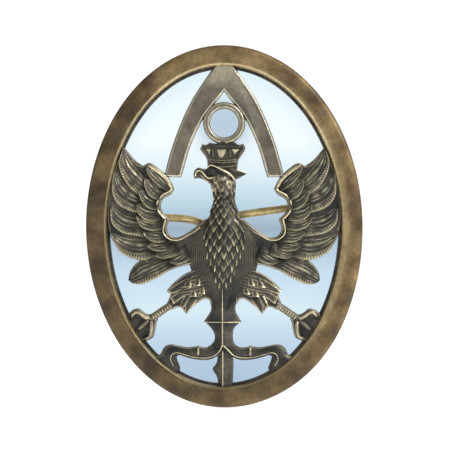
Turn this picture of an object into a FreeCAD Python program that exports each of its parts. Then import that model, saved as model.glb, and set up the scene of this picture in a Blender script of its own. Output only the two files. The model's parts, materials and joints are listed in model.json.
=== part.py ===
"""Oval openwork cap badge: a domed rim round a crowned eagle, with two folding wire prongs.

The badge stands upright.  X is its width, Z its height, and the front faces -Y.
The origin is the centre of the oval in the plane of the rim's back (y = 0).
"""
import FreeCAD, Part
import math
import os
import Sketcher

V = FreeCAD.Vector
doc = FreeCAD.newDocument("CapBadge")

# ---------------------------------------------------------------- driving dimensions, in mm
sheet = doc.addObject("Spreadsheet::Sheet", "Sizes")
SIZES = {
    "half_height": 30.0,        # the oval, outside
    "half_width": 22.9,
    "rim_face": 3.45,           # width of the rim's face
    "rim_depth": 2.4,           # back to front
    "rim_round": 0.9,           # rounding of the outer front edge
    "rim_bevel": 0.5,           # bright bevel on the inner front edge
    "flange_depth": 0.8,        # backing ring in the rim's rebate
    "flange_lip": 0.45,         # how far it shows inside the rim
    "flange_seat": 2.0,         # how far it reaches under the rim
    "seat_gap": 0.03,           # soldered seat
    "arch_depth": 1.0,
    "wing_depth": 1.1,          # flight feathers
    "covert_depth": 0.5,        # covert feathers on top of them
    "leg_depth": 1.4,
    "tail_depth": 1.2,
    "crown_depth": 1.5,
    "belly_depth": 1.2,
    "beak_depth": 1.6,
    "roundel_radius": 3.5,
    "roundel_wall": 1.15,
    "roundel_height": 17.1,     # Z of its centre
    "wire_radius": 0.65,
    "knee_back": 1.6,           # Y of the bend in each prong
    "knee_radius": 0.72,
    "knee_gap": 0.06,
    "solder_radius": 1.15,
    "solder_depth": 0.6,
}
for row, (alias, value) in enumerate(SIZES.items(), start=1):
    sheet.set(f"A{row}", str(value))
    sheet.setAlias(f"A{row}", alias)
doc.recompute()


def size(alias):
    """The value of one cell of the sheet."""
    return float(sheet.get(alias))


# ---------------------------------------------------------------- helpers
def mirrored(runs):
    """The same runs of points on the badge's other side."""
    return [[(-x, z) for x, z in run] for run in runs]


def draw_loop(sketch, runs):
    """Draw a closed outline.  A run of one point is a straight edge from where the last run
    ended, and a longer run is a smooth curve through its points."""
    here = runs[-1][-1]
    first = sketch.GeometryCount
    for run in runs:
        points = [V(x, z, 0) for x, z in [here] + run]
        if len(points) == 2:
            edge = Part.LineSegment(*points)
        else:
            edge = Part.BSplineCurve()
            edge.interpolate(points)
        sketch.addGeometry(edge)
        here = run[-1]
    last = sketch.GeometryCount - 1
    for index in range(first, last + 1):
        follower = first if index == last else index + 1
        sketch.addConstraint(Sketcher.Constraint("Coincident", index, 2, follower, 1))


def new_sketch(body, name, role, offset):
    """A sketch on one of the body's own origin planes, moved along the plane's normal."""
    sketch = body.newObject("Sketcher::SketchObject", name)
    plane = next(f for f in body.Origin.OriginFeatures if f.Role == role)
    sketch.AttachmentSupport = (plane, [""])
    sketch.MapMode = "FlatFace"
    sketch.setExpression("AttachmentOffset.Base.z", offset)
    return sketch


def add_pad(body, name, runs, back, depth):
    """Pad an outline towards the front.  The XZ plane's normal is -Y, so back and depth,
    which are expressions, are both counted from the rim's back towards the viewer."""
    sketch = new_sketch(body, name + "Outline", "XZ_Plane", back)
    draw_loop(sketch, runs)
    pad = body.newObject("PartDesign::Pad", name + "Pad")
    pad.Profile = sketch
    pad.setExpression("Length", depth)
    return pad


def oval(name, inset, back, depth):
    """An oval disc, inset from the rim's outside by an expression."""
    ellipse = doc.addObject("Part::Ellipse", name + "Oval")
    ellipse.setExpression("MajorRadius", f"Sizes.half_height - ({inset})")
    ellipse.setExpression("MinorRadius", f"Sizes.half_width - ({inset})")
    ellipse.Placement.Rotation = FreeCAD.Rotation(V(0, 0, 1), V(1, 0, 0), V(0, 1, 0), "ZXY")
    ellipse.setExpression("Placement.Base.y", f"-({back})")
    disc = doc.addObject("Part::Extrusion", name)
    disc.Base = ellipse
    disc.DirMode = "Custom"
    disc.Dir = V(0, -1, 0)
    disc.Solid = True
    disc.setExpression("LengthFwd", depth)
    return disc


def combine(kind, name, base, tool):
    """A Part::Cut or Part::Common of two objects."""
    result = doc.addObject(kind, name)
    result.Base = base
    result.Tool = tool
    return result


def fuse(name, shapes):
    """One solid from several that overlap."""
    result = doc.addObject("Part::MultiFuse", name)
    result.Shapes = shapes
    result.Refine = True
    return result


FLANGE_FRONT = "Sizes.flange_depth"
THROUGH = "Sizes.rim_depth + 4"

# ---------------------------------------------------------------- rim and backing ring
rim_blank = oval("RimBlank", "0", "0", "Sizes.rim_depth")
rim_bore = oval("RimBore", "Sizes.rim_face", "-1", THROUGH)
rim_rebate = oval("RimRebate", "Sizes.rim_face - Sizes.flange_seat - Sizes.seat_gap",
                  "-1", "1 + Sizes.flange_depth")
rim_ring = combine("Part::Cut", "RimRing", rim_blank, rim_bore)
rim_seated = combine("Part::Cut", "RimSeated", rim_ring, rim_rebate)
doc.recompute()
front_edges = [
    (number, edge) for number, edge in enumerate(rim_seated.Shape.Edges, start=1)
    if edge.BoundBox.YMax < 0.01 - size("rim_depth")
]
front_edges.sort(key=lambda pair: pair[1].Length)
rim_bevelled = doc.addObject("Part::Chamfer", "RimBevelled")
rim_bevelled.Base = rim_seated
rim_bevelled.Edges = [(front_edges[0][0], size("rim_bevel"), size("rim_bevel"))]
doc.recompute()
outer_edge = max(
    ((number, edge.Length) for number, edge in enumerate(rim_bevelled.Shape.Edges, start=1)
     if edge.BoundBox.YMax < 0.01 - size("rim_depth")),
    key=lambda pair: pair[1],
)[0]
rim = doc.addObject("Part::Fillet", "Rim")
rim.Base = rim_bevelled
rim.Edges = [(outer_edge, size("rim_round"), size("rim_round"))]
rim.Label = "rim"

flange_disc = oval("FlangeDisc", "Sizes.rim_face - Sizes.flange_seat", "0", FLANGE_FRONT)
flange_bore = oval("FlangeBore", "Sizes.rim_face + Sizes.flange_lip", "-1", THROUGH)
backing_ring = combine("Part::Cut", "BackingRing", flange_disc, flange_bore)
backing_ring.Label = "backing_ring"

# the oval window that every figure inside the rim is trimmed to
window = oval("Window", "Sizes.rim_face + Sizes.seat_gap", FLANGE_FRONT, THROUGH)

# ---------------------------------------------------------------- the eagle's body and head
# height, centre, half width and depth of each cross-section, from the belly to the brow
BODY_STATIONS = [
    (-10.8, -0.2, 0.8, 1.3),
    (-9.0, -0.2, 1.7, 2.1),
    (-6.0, -0.1, 2.8, 2.8),
    (-3.0, 0.0, 3.5, 3.1),
    (-0.6, 0.1, 3.5, 3.0),
    (1.6, 0.1, 2.5, 2.6),
    (4.0, 0.0, 1.85, 2.2),
    (6.0, -0.1, 1.9, 2.1),
    (8.0, -0.3, 2.1, 2.0),
    (9.6, -0.6, 1.5, 1.5),
]
BEAK = [
    [(-1.2, 9.7)],
    [(-3.2, 9.35), (-3.9, 9.6), (-4.5, 9.3), (-4.95, 8.6), (-4.9, 7.9)],
    [(-4.3, 8.3), (-3.3, 7.8), (-2.5, 7.0), (-1.4, 6.4)],
]
# flanks and lower belly beside the round breast
BELLY = [
    [(-4.0, 0.2)],
    [(-5.0, -1.4), (-5.9, -4.0), (-5.9, -6.6)],
    [(-4.6, -9.4), (-3.1, -11.8)],
    [(-2.0, -12.3), (-1.2, -13.0)],
    [(0.8, -13.0)],
    [(1.7, -12.4), (3.0, -11.9)],
    [(4.4, -9.4), (5.7, -6.6)],
    [(5.7, -4.0), (4.9, -1.4), (4.0, 0.2)],
]


def eagle_body():
    """Breast, neck and head as a loft of half ovals, with the beak and belly padded on."""
    body = doc.addObject("PartDesign::Body", "EagleBody")
    sections = []
    back = -size("flange_depth")
    for number, (height, centre, half_width, depth) in enumerate(BODY_STATIONS):
        sketch = new_sketch(body, f"BodySection{number}", "XY_Plane", str(height))
        half_oval = [
            (centre - half_width * math.cos(angle), back - depth * math.sin(angle))
            for angle in (math.pi * step / 8 for step in range(1, 9))
        ]
        draw_loop(sketch, [[(centre - half_width, back)], half_oval])
        sections.append(sketch)
    loft = body.newObject("PartDesign::AdditiveLoft", "BodyLoft")
    loft.Profile = sections[0]
    loft.Sections = sections[1:]
    add_pad(body, "Belly", BELLY, FLANGE_FRONT, "Sizes.belly_depth")
    add_pad(body, "Beak", BEAK, FLANGE_FRONT, "Sizes.beak_depth")
    body.Label = "eagle_body"
    return body


eagle = eagle_body()

# ---------------------------------------------------------------- wings
WING = [
    [(-18.2, 13.2)],
    [(-16.5, 13.0)],
    [(-15.4, 11.2), (-14.3, 10.15), (-13.5, 9.95)],
    [(-12.4, 10.4), (-11.2, 9.75), (-9.4, 8.1), (-8.4, 6.2)],
    [(-8.9, 5.4), (-10.2, 4.6), (-10.7, 3.4), (-10.2, 2.1), (-9.2, 1.1)],
    [(-9.65, -0.5), (-9.0, -1.7), (-7.6, -1.95), (-6.0, -1.2), (-4.2, 0.3)],
    [(-2.0, -1.0)],
    [(-3.5, -6.2)],
    [(-6.0, -6.3), (-8.2, -6.9), (-11.0, -8.5), (-13.6, -9.4), (-15.7, -9.2)],
    [(-15.4, -7.6), (-13.9, -5.85)],
    [(-15.6, -5.2), (-17.6, -3.8), (-18.7, -1.5)],
    [(-20.5, -1.0)],
]
COVERTS = [
    [(-13.0, 8.2)],
    [(-11.4, 8.8), (-9.7, 7.5), (-8.9, 6.3)],
    [(-9.6, 5.3), (-10.9, 4.8), (-11.4, 3.5), (-10.9, 2.2), (-10.0, 1.2)],
    [(-10.4, -0.6), (-9.6, -2.2), (-7.6, -2.6), (-5.6, -1.8), (-4.0, -0.8)],
    [(-3.0, -5.6)],
    [(-7.6, -5.4), (-10.4, -4.6), (-11.6, -4.7)],
    [(-12.6, -3.4), (-13.6, -1.0), (-14.5, 1.6)],
    [(-14.7, 3.6), (-13.9, 6.2)],
]


def wing():
    """The left wing: flight feathers with the covert layer on them, inside the window."""
    body = doc.addObject("PartDesign::Body", "WingBlank")
    add_pad(body, "Flight", WING, FLANGE_FRONT, "Sizes.wing_depth")
    add_pad(body, "Covert", COVERTS, "Sizes.flange_depth + Sizes.wing_depth",
            "Sizes.covert_depth")
    trimmed = combine("Part::Common", "WingTrimmed", body, window)
    return trimmed


wing_blank = wing()
wing_left = combine("Part::Cut", "WingLeft", wing_blank, eagle)
wing_left.Label = "wing_left"
wing_mirror = doc.addObject("Part::Mirroring", "WingMirror")
wing_mirror.Source = wing_blank
wing_mirror.Normal = V(1, 0, 0)
wing_right = combine("Part::Cut", "WingRight", wing_mirror, eagle)
wing_right.Label = "wing_right"

# ---------------------------------------------------------------- legs
LEG = [
    [(-3.2, -6.4)],
    [(-6.0, -7.8), (-8.2, -9.3), (-9.4, -10.7)],
    [(-8.9, -11.6), (-9.1, -12.6)],
    [(-12.2, -14.9)],
    [(-13.2, -14.55), (-14.0, -13.85), (-14.9, -14.0), (-15.6, -14.6)],
    [(-17.4, -15.4)],
    [(-14.6, -20.0)],
    [(-12.8, -18.85)],
    [(-11.9, -18.5), (-11.6, -17.4), (-11.3, -16.1)],
    [(-8.4, -13.9)],
    [(-7.5, -13.4), (-6.8, -13.8), (-6.3, -14.4)],
    [(-5.6, -13.6), (-4.5, -12.7), (-3.0, -11.8)],
    [(-1.6, -9.6)],
]


def leg():
    """The left leg: feathered thigh, shank and the claw that grips the rim."""
    body = doc.addObject("PartDesign::Body", "LegBlank")
    add_pad(body, "Leg", LEG, FLANGE_FRONT, "Sizes.leg_depth")
    trimmed = combine("Part::Common", "LegTrimmed", body, window)
    return combine("Part::Cut", "LegClear", trimmed, wing_blank)


leg_blank = leg()
leg_left = combine("Part::Cut", "LegLeft", leg_blank, eagle)
leg_left.Label = "leg_left"
leg_mirror = doc.addObject("Part::Mirroring", "LegMirror")
leg_mirror.Source = leg_blank
leg_mirror.Normal = V(1, 0, 0)
leg_right = combine("Part::Cut", "LegRight", leg_mirror, eagle)
leg_right.Label = "leg_right"

# ---------------------------------------------------------------- tail and scroll
TAIL = [
    [(-2.0, -12.2), (-2.1, -13.8), (-3.2, -15.9)],
    [(-1.9, -17.1), (-1.45, -18.4), (-2.4, -20.2)],
    [(1.9, -20.2)],
    [(1.3, -18.4), (1.5, -17.1), (2.7, -15.9)],
    [(1.7, -13.8), (1.6, -12.2)],
    [(1.0, -9.0)],
    [(-1.4, -9.0)],
]
SCROLL = [
    [(-4.4, -20.1), (-7.0, -19.95), (-8.9, -19.75), (-10.1, -20.6), (-10.6, -21.5)],
    [(-12.6, -23.4)],
    [(-8.4, -26.0)],
    [(-7.5, -23.5)],
    [(-7.9, -22.4), (-7.8, -21.4)],
    [(-6.2, -21.6), (-3.6, -22.0), (-1.2, -21.3)],
    [(-1.2, -22.6), (-1.8, -23.7)],
    [(-1.0, -25.0), (-0.8, -27.5)],
    [(1.2, -27.5)],
    [(1.2, -25.0), (1.4, -22.6), (1.0, -21.4)],
    [(3.4, -22.1), (6.0, -21.65), (7.6, -21.4)],
    [(7.8, -22.4), (7.3, -23.5)],
    [(8.2, -26.0)],
    [(12.4, -23.4)],
    [(10.4, -21.5), (9.9, -20.6), (8.7, -19.7), (6.8, -19.9), (4.2, -20.1), (2.6, -20.2)],
    [(-2.8, -20.2)],
]


def shaft(name, outline, depth):
    """A flat piece of the lower middle, inside the window and clear of the eagle's body."""
    body = doc.addObject("PartDesign::Body", name + "Blank")
    add_pad(body, name, outline, FLANGE_FRONT, depth)
    trimmed = combine("Part::Common", name + "Trimmed", body, window)
    return combine("Part::Cut", name, trimmed, eagle)


tail = shaft("Tail", TAIL, "Sizes.tail_depth")
tail.Label = "tail"
scroll = shaft("Scroll", SCROLL, "Sizes.tail_depth")
scroll.Label = "scroll"

# ---------------------------------------------------------------- arch, roundel and crown
ARCH = [
    [(-1.3, 27.5)],
    [(-5.3, 20.6), (-8.0, 14.4), (-9.8, 8.3)],
    [(-7.3, 8.3)],
    [(-5.8, 13.4), (-3.6, 18.0), (0.0, 22.6)],
    [(3.6, 18.0), (5.8, 13.4), (7.3, 8.3)],
    [(9.8, 8.3)],
    [(8.0, 14.4), (5.3, 20.6), (1.3, 27.5)],
]
CROWN = [
    [(-2.4, 9.0)],
    [(-3.0, 11.6), (-3.7, 13.3)],
    [(-2.9, 13.2), (-2.5, 12.9)],
    [(-1.9, 13.3), (-1.5, 14.0)],
    [(-0.9, 13.6), (-0.3, 14.4)],
    [(0.3, 13.6), (0.9, 14.0)],
    [(1.3, 13.3), (1.9, 12.9)],
    [(2.3, 13.2), (3.1, 13.3)],
    [(2.4, 11.6), (1.8, 9.0)],
]

arch_body = doc.addObject("PartDesign::Body", "ArchBlank")
add_pad(arch_body, "Arch", ARCH, FLANGE_FRONT, "Sizes.arch_depth")
arch_trimmed = combine("Part::Common", "ArchTrimmed", arch_body, window)
arch_half_clear = combine("Part::Cut", "ArchHalfClear", arch_trimmed, wing_left)
arch_frame = combine("Part::Cut", "ArchFrame", arch_half_clear, wing_right)
arch_frame.Label = "arch_frame"


def round_bar(name, radius, middle, back, depth):
    """A cylinder along -Y.  radius, back and depth are expressions, middle is (x, z)."""
    cylinder = doc.addObject("Part::Cylinder", name)
    cylinder.Placement = FreeCAD.Placement(
        V(middle[0], 0, middle[1]), FreeCAD.Rotation(V(1, 0, 0), 90))
    cylinder.setExpression("Placement.Base.y", f"-({back})")
    cylinder.setExpression("Radius", radius)
    cylinder.setExpression("Height", depth)
    return cylinder


roundel_middle = (0.0, size("roundel_height"))
roundel_disc = round_bar("RoundelDisc", "Sizes.roundel_radius", roundel_middle,
                         FLANGE_FRONT, "Sizes.arch_depth")
roundel_hole = round_bar("RoundelHole", "Sizes.roundel_radius - Sizes.roundel_wall",
                         roundel_middle, "0", THROUGH)
roundel_ring = combine("Part::Cut", "RoundelRing", roundel_disc, roundel_hole)
roundel = combine("Part::Cut", "Roundel", roundel_ring, arch_frame)
roundel.Label = "roundel"

crown_body = doc.addObject("PartDesign::Body", "CrownBlank")
add_pad(crown_body, "Crown", CROWN, FLANGE_FRONT, "Sizes.crown_depth")
crown_clear = combine("Part::Cut", "CrownClear", crown_body, eagle)
crown = combine("Part::Cut", "Crown", crown_clear, roundel_disc)
crown.Label = "crown"

# ---------------------------------------------------------------- wire prongs behind the eagle
# (x, z) of each knee, bend and tip, with the prong folded outwards behind the wing
LEFT_PRONG = [(-2.2, -0.55), (-4.7, 1.05), (-16.4, 1.95)]
RIGHT_PRONG = [(0.9, 1.4), (2.8, 1.93), (16.4, 3.8)]
BEND_RADIUS = {"Left": 4.5, "Right": 5.0}


def rounded_path(points, radius):
    """Two straight runs joined by a tangent arc, in the sketch's plane."""
    start, corner, end = (V(x, z, 0) for x, z in points)
    arrive = (corner - start).normalize()
    leave = (end - corner).normalize()
    turn = arrive.getAngle(leave)
    setback = radius * math.tan(turn / 2)
    arc_start = corner - arrive * setback
    arc_end = corner + leave * setback
    inward = (leave - arrive).normalize()
    centre = corner + inward * (radius / math.cos(turn / 2))
    arc_middle = centre - inward * radius
    return [
        Part.LineSegment(start, arc_start),
        Part.Arc(arc_start, arc_middle, arc_end),
        Part.LineSegment(arc_end, end),
    ]


def prong(side, points):
    """One folded prong: a knee barrel on the hinge's upright axis, the bent wire, a round tip."""
    spine = doc.addObject("Sketcher::SketchObject", f"{side}Spine")
    spine.Placement.Rotation = FreeCAD.Rotation(V(1, 0, 0), 90)
    spine.setExpression("Placement.Base.y", "Sizes.knee_back")
    spine.addGeometry(rounded_path(points, BEND_RADIUS[side]))
    start, corner, end = points
    section = doc.addObject("Part::Circle", f"{side}Section")
    section.setExpression("Radius", "Sizes.wire_radius")
    along = V(corner[0] - start[0], 0, corner[1] - start[1])
    section.Placement = FreeCAD.Placement(
        V(start[0], 0, start[1]), FreeCAD.Rotation(V(0, 0, 1), along))
    section.setExpression("Placement.Base.y", "Sizes.knee_back")
    doc.recompute()
    wire = doc.addObject("Part::Sweep", f"{side}Wire")
    wire.Sections = [section]
    wire.Spine = (spine, ["Edge1", "Edge2", "Edge3"])
    wire.Solid = True
    barrel = doc.addObject("Part::Cylinder", f"{side}Barrel")
    barrel.setExpression("Radius", "Sizes.knee_radius")
    barrel.setExpression("Height", "Sizes.wire_radius * 2")
    barrel.Placement.Base = V(start[0], 0, start[1])
    barrel.setExpression("Placement.Base.y", "Sizes.knee_back")
    barrel.setExpression("Placement.Base.z", f"{start[1]} - Sizes.wire_radius")
    tip = doc.addObject("Part::Sphere", f"{side}Tip")
    tip.setExpression("Radius", "Sizes.wire_radius")
    tip.Placement.Base = V(end[0], 0, end[1])
    tip.setExpression("Placement.Base.y", "Sizes.knee_back")
    return fuse(f"Prong{side}", [barrel, wire, tip])


def root(side, points):
    """The wire's standing end, hollowed where the prong's knee barrel turns in it."""
    middle = points[0]
    rod = round_bar(f"{side}Rod", "Sizes.wire_radius", middle, "-Sizes.knee_back",
                    "Sizes.knee_back + Sizes.flange_depth - Sizes.solder_depth")
    socket = doc.addObject("Part::Cylinder", f"{side}Socket")
    socket.setExpression("Radius", "Sizes.knee_radius + Sizes.knee_gap")
    socket.setExpression("Height", "Sizes.wire_radius * 4")
    socket.Placement.Base = V(middle[0], 0, middle[1])
    socket.setExpression("Placement.Base.y", "Sizes.knee_back")
    socket.setExpression("Placement.Base.z", f"{middle[1]} - Sizes.wire_radius * 2")
    return combine("Part::Cut", f"Root{side}", rod, socket)


def solder(side, points):
    """The bead of solder that holds a root to the eagle's back."""
    cone = doc.addObject("Part::Cone", f"Solder{side}")
    cone.setExpression("Radius1", "Sizes.solder_radius")
    cone.setExpression("Radius2", "Sizes.wire_radius + 0.1")
    cone.setExpression("Height", "Sizes.solder_depth")
    cone.Placement = FreeCAD.Placement(
        V(points[0][0], 0, points[0][1]), FreeCAD.Rotation(V(1, 0, 0), -90))
    cone.setExpression("Placement.Base.y", "-Sizes.flange_depth")
    return cone


def group(name, members):
    """Separate solids that share one node."""
    result = doc.addObject("Part::Compound", name)
    result.Links = members
    return result


prong_left = prong("Left", LEFT_PRONG)
prong_left.Label = "prong_left"
prong_right = prong("Right", RIGHT_PRONG)
prong_right.Label = "prong_right"
prong_roots = group("ProngRoots", [root("Left", LEFT_PRONG), root("Right", RIGHT_PRONG)])
prong_roots.Label = "prong_roots"
solder_beads = group("SolderBeads", [solder("Left", LEFT_PRONG), solder("Right", RIGHT_PRONG)])
solder_beads.Label = "solder_beads"

# ---------------------------------------------------------------- check and write
NODES = [rim, backing_ring, arch_frame, roundel, crown, eagle, wing_left, wing_right,
         leg_left, leg_right, tail, scroll, solder_beads, prong_roots, prong_left, prong_right]

doc.recompute()
for item in doc.Objects:
    if "Invalid" in item.State or "Error" in item.State:
        raise RuntimeError(f"{item.Name} did not compute: {item.State}")
for node in NODES:
    if node.Shape.isNull() or not node.Shape.isValid():
        raise RuntimeError(f"{node.Label} has no valid shape")

os.makedirs("parts", exist_ok=True)
for node in NODES:
    node.Shape.exportStep(f"parts/{node.Label}.step")
    print(f"{node.Label:14s} solids {len(node.Shape.Solids)}  volume {node.Shape.Volume:9.3f} mm3")
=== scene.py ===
# %% [markdown]
# # An oval openwork cap badge
# A struck bronze badge, 60 mm tall: a domed rim, and inside it a crowned eagle under a pointed
# arch, standing over a scroll. The figures are pierced, so the light comes through beside them.
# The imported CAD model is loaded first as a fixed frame: it says where every piece lies. The
# relief, which is what the eye reads on a badge, is then modelled over it, feather by feather.
# Blender's vector noise starts from the clock unless it is given a seed, and here every run has
# to give the same badge, so the seed is set once at the start.

# %% Load the frame
import json
import math

import bmesh
import bpy
from mathutils import Matrix, Vector, noise
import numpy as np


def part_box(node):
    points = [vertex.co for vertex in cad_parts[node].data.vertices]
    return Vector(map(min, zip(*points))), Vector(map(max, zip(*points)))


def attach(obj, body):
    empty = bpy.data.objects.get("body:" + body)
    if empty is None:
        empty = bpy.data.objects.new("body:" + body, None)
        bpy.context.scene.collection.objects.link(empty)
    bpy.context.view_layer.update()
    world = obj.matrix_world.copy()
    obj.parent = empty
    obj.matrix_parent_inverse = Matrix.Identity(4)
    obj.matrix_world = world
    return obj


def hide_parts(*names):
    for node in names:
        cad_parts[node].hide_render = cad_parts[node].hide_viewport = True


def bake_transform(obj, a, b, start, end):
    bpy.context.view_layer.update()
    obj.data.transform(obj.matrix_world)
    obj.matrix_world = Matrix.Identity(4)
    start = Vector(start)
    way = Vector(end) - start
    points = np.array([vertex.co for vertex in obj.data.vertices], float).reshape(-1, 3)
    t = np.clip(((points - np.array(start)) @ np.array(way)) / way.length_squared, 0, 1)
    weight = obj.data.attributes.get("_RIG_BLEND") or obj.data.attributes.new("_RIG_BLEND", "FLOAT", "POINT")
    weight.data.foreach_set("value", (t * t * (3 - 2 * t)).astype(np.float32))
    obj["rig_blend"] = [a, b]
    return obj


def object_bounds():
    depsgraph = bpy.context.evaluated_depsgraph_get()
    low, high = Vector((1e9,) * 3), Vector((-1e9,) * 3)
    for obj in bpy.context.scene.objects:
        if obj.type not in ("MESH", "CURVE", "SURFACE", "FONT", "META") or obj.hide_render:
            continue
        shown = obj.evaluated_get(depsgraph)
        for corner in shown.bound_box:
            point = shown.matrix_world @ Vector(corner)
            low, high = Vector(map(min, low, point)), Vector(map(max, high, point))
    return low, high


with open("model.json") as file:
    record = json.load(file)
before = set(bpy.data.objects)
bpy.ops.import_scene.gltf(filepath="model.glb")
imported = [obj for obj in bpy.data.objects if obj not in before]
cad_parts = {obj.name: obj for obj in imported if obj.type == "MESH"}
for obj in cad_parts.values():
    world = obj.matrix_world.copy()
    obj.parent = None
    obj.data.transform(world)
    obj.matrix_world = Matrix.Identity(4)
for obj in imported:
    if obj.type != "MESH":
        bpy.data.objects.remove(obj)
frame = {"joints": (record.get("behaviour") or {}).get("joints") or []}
cad_low, cad_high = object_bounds()
noise.seed_set(7)
BADGE, LEFT_PRONG, RIGHT_PRONG = "badge", "left_prong", "right_prong"

# %% [markdown]
# Everything is shaped in millimetres, as a die sinker would think of it, and turned to metres
# when a piece is finished. X is the badge's width and Z its height. Depth is counted forwards
# from the plane of the rim's back, so a depth of 2 is a point at y = -2 mm.

# %% Sizes
MM = 0.001
rim_low, rim_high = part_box("rim")
HALF_WIDTH = rim_high.x / MM
HALF_HEIGHT = rim_high.z / MM
RIM_FRONT = -rim_low.y / MM
FLANGE_FRONT = -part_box("backing_ring")[0].y / MM
RIM_FACE = 3.45
FLANGE_LIP = 0.45
print(f"oval {2 * HALF_WIDTH:.1f} x {2 * HALF_HEIGHT:.1f} mm, rim front at {RIM_FRONT:.1f} mm")

# %% [markdown]
# ## Workshop helpers
# A new mesh carries two numbers on every point: `wear`, where handling has rubbed the patina
# through to bright metal, and a darkening that is partly settled dirt and partly painted shade
# in hollows, on walls and where one part tucks under another. Storing them on the points is
# better than guessing them in the material, because here it is known which edge stands proud.

# %% Start and finish a piece
def start_piece():
    """An empty bmesh with the layers that the finishes read."""
    bm = bmesh.new()
    for layer in ("wear", "dirt_and_shade", "along", "across"):
        bm.verts.layers.float.new(layer)
    return bm


def layers(bm, *names):
    """The named layers of a mesh's points."""
    return [bm.verts.layers.float[name] for name in names]


def once_each(parts):
    """The parts of a mesh, each once, in an order that is the same on every run."""
    return list(dict.fromkeys(parts))


def finish_piece(bm, name, node, finish, body=BADGE, stands_for=True, crease=38):
    """Close the mesh's seams, turn its faces out, make the object and tie it to its body."""
    bmesh.ops.remove_doubles(bm, verts=bm.verts, dist=0.0004)
    bmesh.ops.dissolve_degenerate(bm, edges=bm.edges, dist=0.0004)
    many_sided = [face for face in bm.faces if len(face.verts) > 4]
    bmesh.ops.triangulate(bm, faces=many_sided, ngon_method="EAR_CLIP")
    bmesh.ops.recalc_face_normals(bm, faces=bm.faces)
    bmesh.ops.scale(bm, vec=(MM, MM, MM), verts=bm.verts)
    mesh = bpy.data.meshes.new(name)
    bm.to_mesh(mesh)
    bm.free()
    mesh.shade_smooth()
    mesh.set_sharp_from_angle(angle=math.radians(crease))
    mesh.materials.append(finish)
    piece = bpy.data.objects.new(name, mesh)
    bpy.context.scene.collection.objects.link(piece)
    if body:
        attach(piece, body)
    if stands_for:
        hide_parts(node)
    print(f"{name}: {len(mesh.polygons)} faces")
    return piece


# %% [markdown]
# Outlines are smooth curves through a few points. A spline through given points keeps
# the outline editable: moving one point moves one stretch of the edge.

# %% Curves through points
def spline(points):
    """A function of t from 0 to 1 that runs smoothly through the points."""
    knots = [Vector(p) for p in points]
    stops = [0.0]
    for here, there in zip(knots, knots[1:]):
        stops.append(stops[-1] + (there - here).length)
    total = stops[-1]

    def tangent(i):
        before, after = max(i - 1, 0), min(i + 1, len(knots) - 1)
        return (knots[after] - knots[before]) / (stops[after] - stops[before])

    def at(t):
        reach = min(max(t, 0.0), 1.0) * total
        i = 0
        while i < len(knots) - 2 and reach > stops[i + 1]:
            i += 1
        span = stops[i + 1] - stops[i]
        s = (reach - stops[i]) / span
        pull_here = 2 * s**3 - 3 * s**2 + 1
        pull_there = 1 - pull_here
        lean_here = (s**3 - 2 * s**2 + s) * span
        lean_there = (s**3 - s**2) * span
        return (knots[i] * pull_here + knots[i + 1] * pull_there
                + tangent(i) * lean_here + tangent(i + 1) * lean_there)

    at.length = total
    return at


def outline(runs, steps=4):
    """A closed outline. A run of one point is a straight edge, a longer one a smooth curve."""
    corners = []
    here = runs[-1][-1]
    for run in runs:
        if len(run) == 1:
            corners.append(run[0])
        else:
            curve = spline([here] + run)
            count = steps * len(run)
            corners += [tuple(curve(k / count)) for k in range(1, count + 1)]
        here = run[-1]
    return corners


def flip(points, side):
    """Points for the left of the badge (side -1), or their mirror image for the right (+1)."""
    return [(-side * x, z) for x, z in points]


def flip_runs(runs, side):
    """The same for the runs of an outline."""
    return [flip(run, side) for run in runs]


def flip_path(path, side):
    """The same for the (x, depth, z) points of a wire."""
    return [(-side * x, depth, z) for x, depth, z in path]


def smooth_step(low, high, value):
    """0 at low, 1 at high, and an even slide between them. Low may be the larger number."""
    share = min(max((value - low) / (high - low), 0.0), 1.0)
    return share * share * (3 - 2 * share)


# %% [markdown]
# Three tools make nearly all of the relief. A **plate** is an outline extruded to a thickness
# with a bevelled front edge, as a pierced sheet has. A **vane** is a strip between two edges
# whose front follows a small height function: a feather, a ribbon, a shaft. A **rod** is a
# round wire along a path, for bead lines and toes. Struck metal has draft: the walls of a plate
# or a vane lean outwards to the back, so that the piece leaves the die. Those walls are darkened,
# partly as dirt and partly as painted shade, and draw a dark line round every figure.

# %% Plate
DRAFT = 0.14
RUB_MARGIN = 0.09


def add_plate(bm, corners, back, front, bevel=0.14, wear=0.9, rub=None, draft=DRAFT):
    """Extrude an outline from one depth to another, then bevel and rub its front edge. rub(x, z)
    is the wear of the face inside that edge. The back is larger all round by the draft."""
    worn, dirt_and_shade = layers(bm, "wear", "dirt_and_shade")
    face = bm.faces.new([bm.verts.new((x, -back, z)) for x, z in corners])
    grown = bmesh.ops.extrude_face_region(bm, geom=[face], use_keep_orig=True)["geom"]
    lifted = [g for g in grown if isinstance(g, bmesh.types.BMVert)]
    bmesh.ops.translate(bm, verts=lifted, vec=(0, back - front, 0))
    face.normal_update()
    for vert, inward in [(loop.vert, loop.calc_tangent()) for loop in face.loops]:
        vert.co -= inward * draft
        # The back and the walls are darkened: dirt and painted shade.
        vert[dirt_and_shade] = 1.0
    top = next(g for g in grown if isinstance(g, bmesh.types.BMFace)
               and all(v in lifted for v in g.verts))
    bevelled = bmesh.ops.bevel(
        bm, geom=list(top.edges), offset=bevel, offset_type="OFFSET", segments=2,
        profile=0.5, affect="EDGES", clamp_overlap=True, material=-1)
    for vert in bevelled["verts"]:
        vert[worn] = wear
    level = [f for v in bevelled["verts"] for f in v.link_faces
             if all(abs(c.co.y + front) < 1e-4 for c in f.verts)]
    top = max(level, key=lambda f: f.calc_area())
    bmesh.ops.inset_individual(bm, faces=[top], thickness=RUB_MARGIN, use_even_offset=False)
    for vert in top.verts:
        vert[worn] = rub(vert.co.x, vert.co.z) if rub else 0.0


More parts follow.
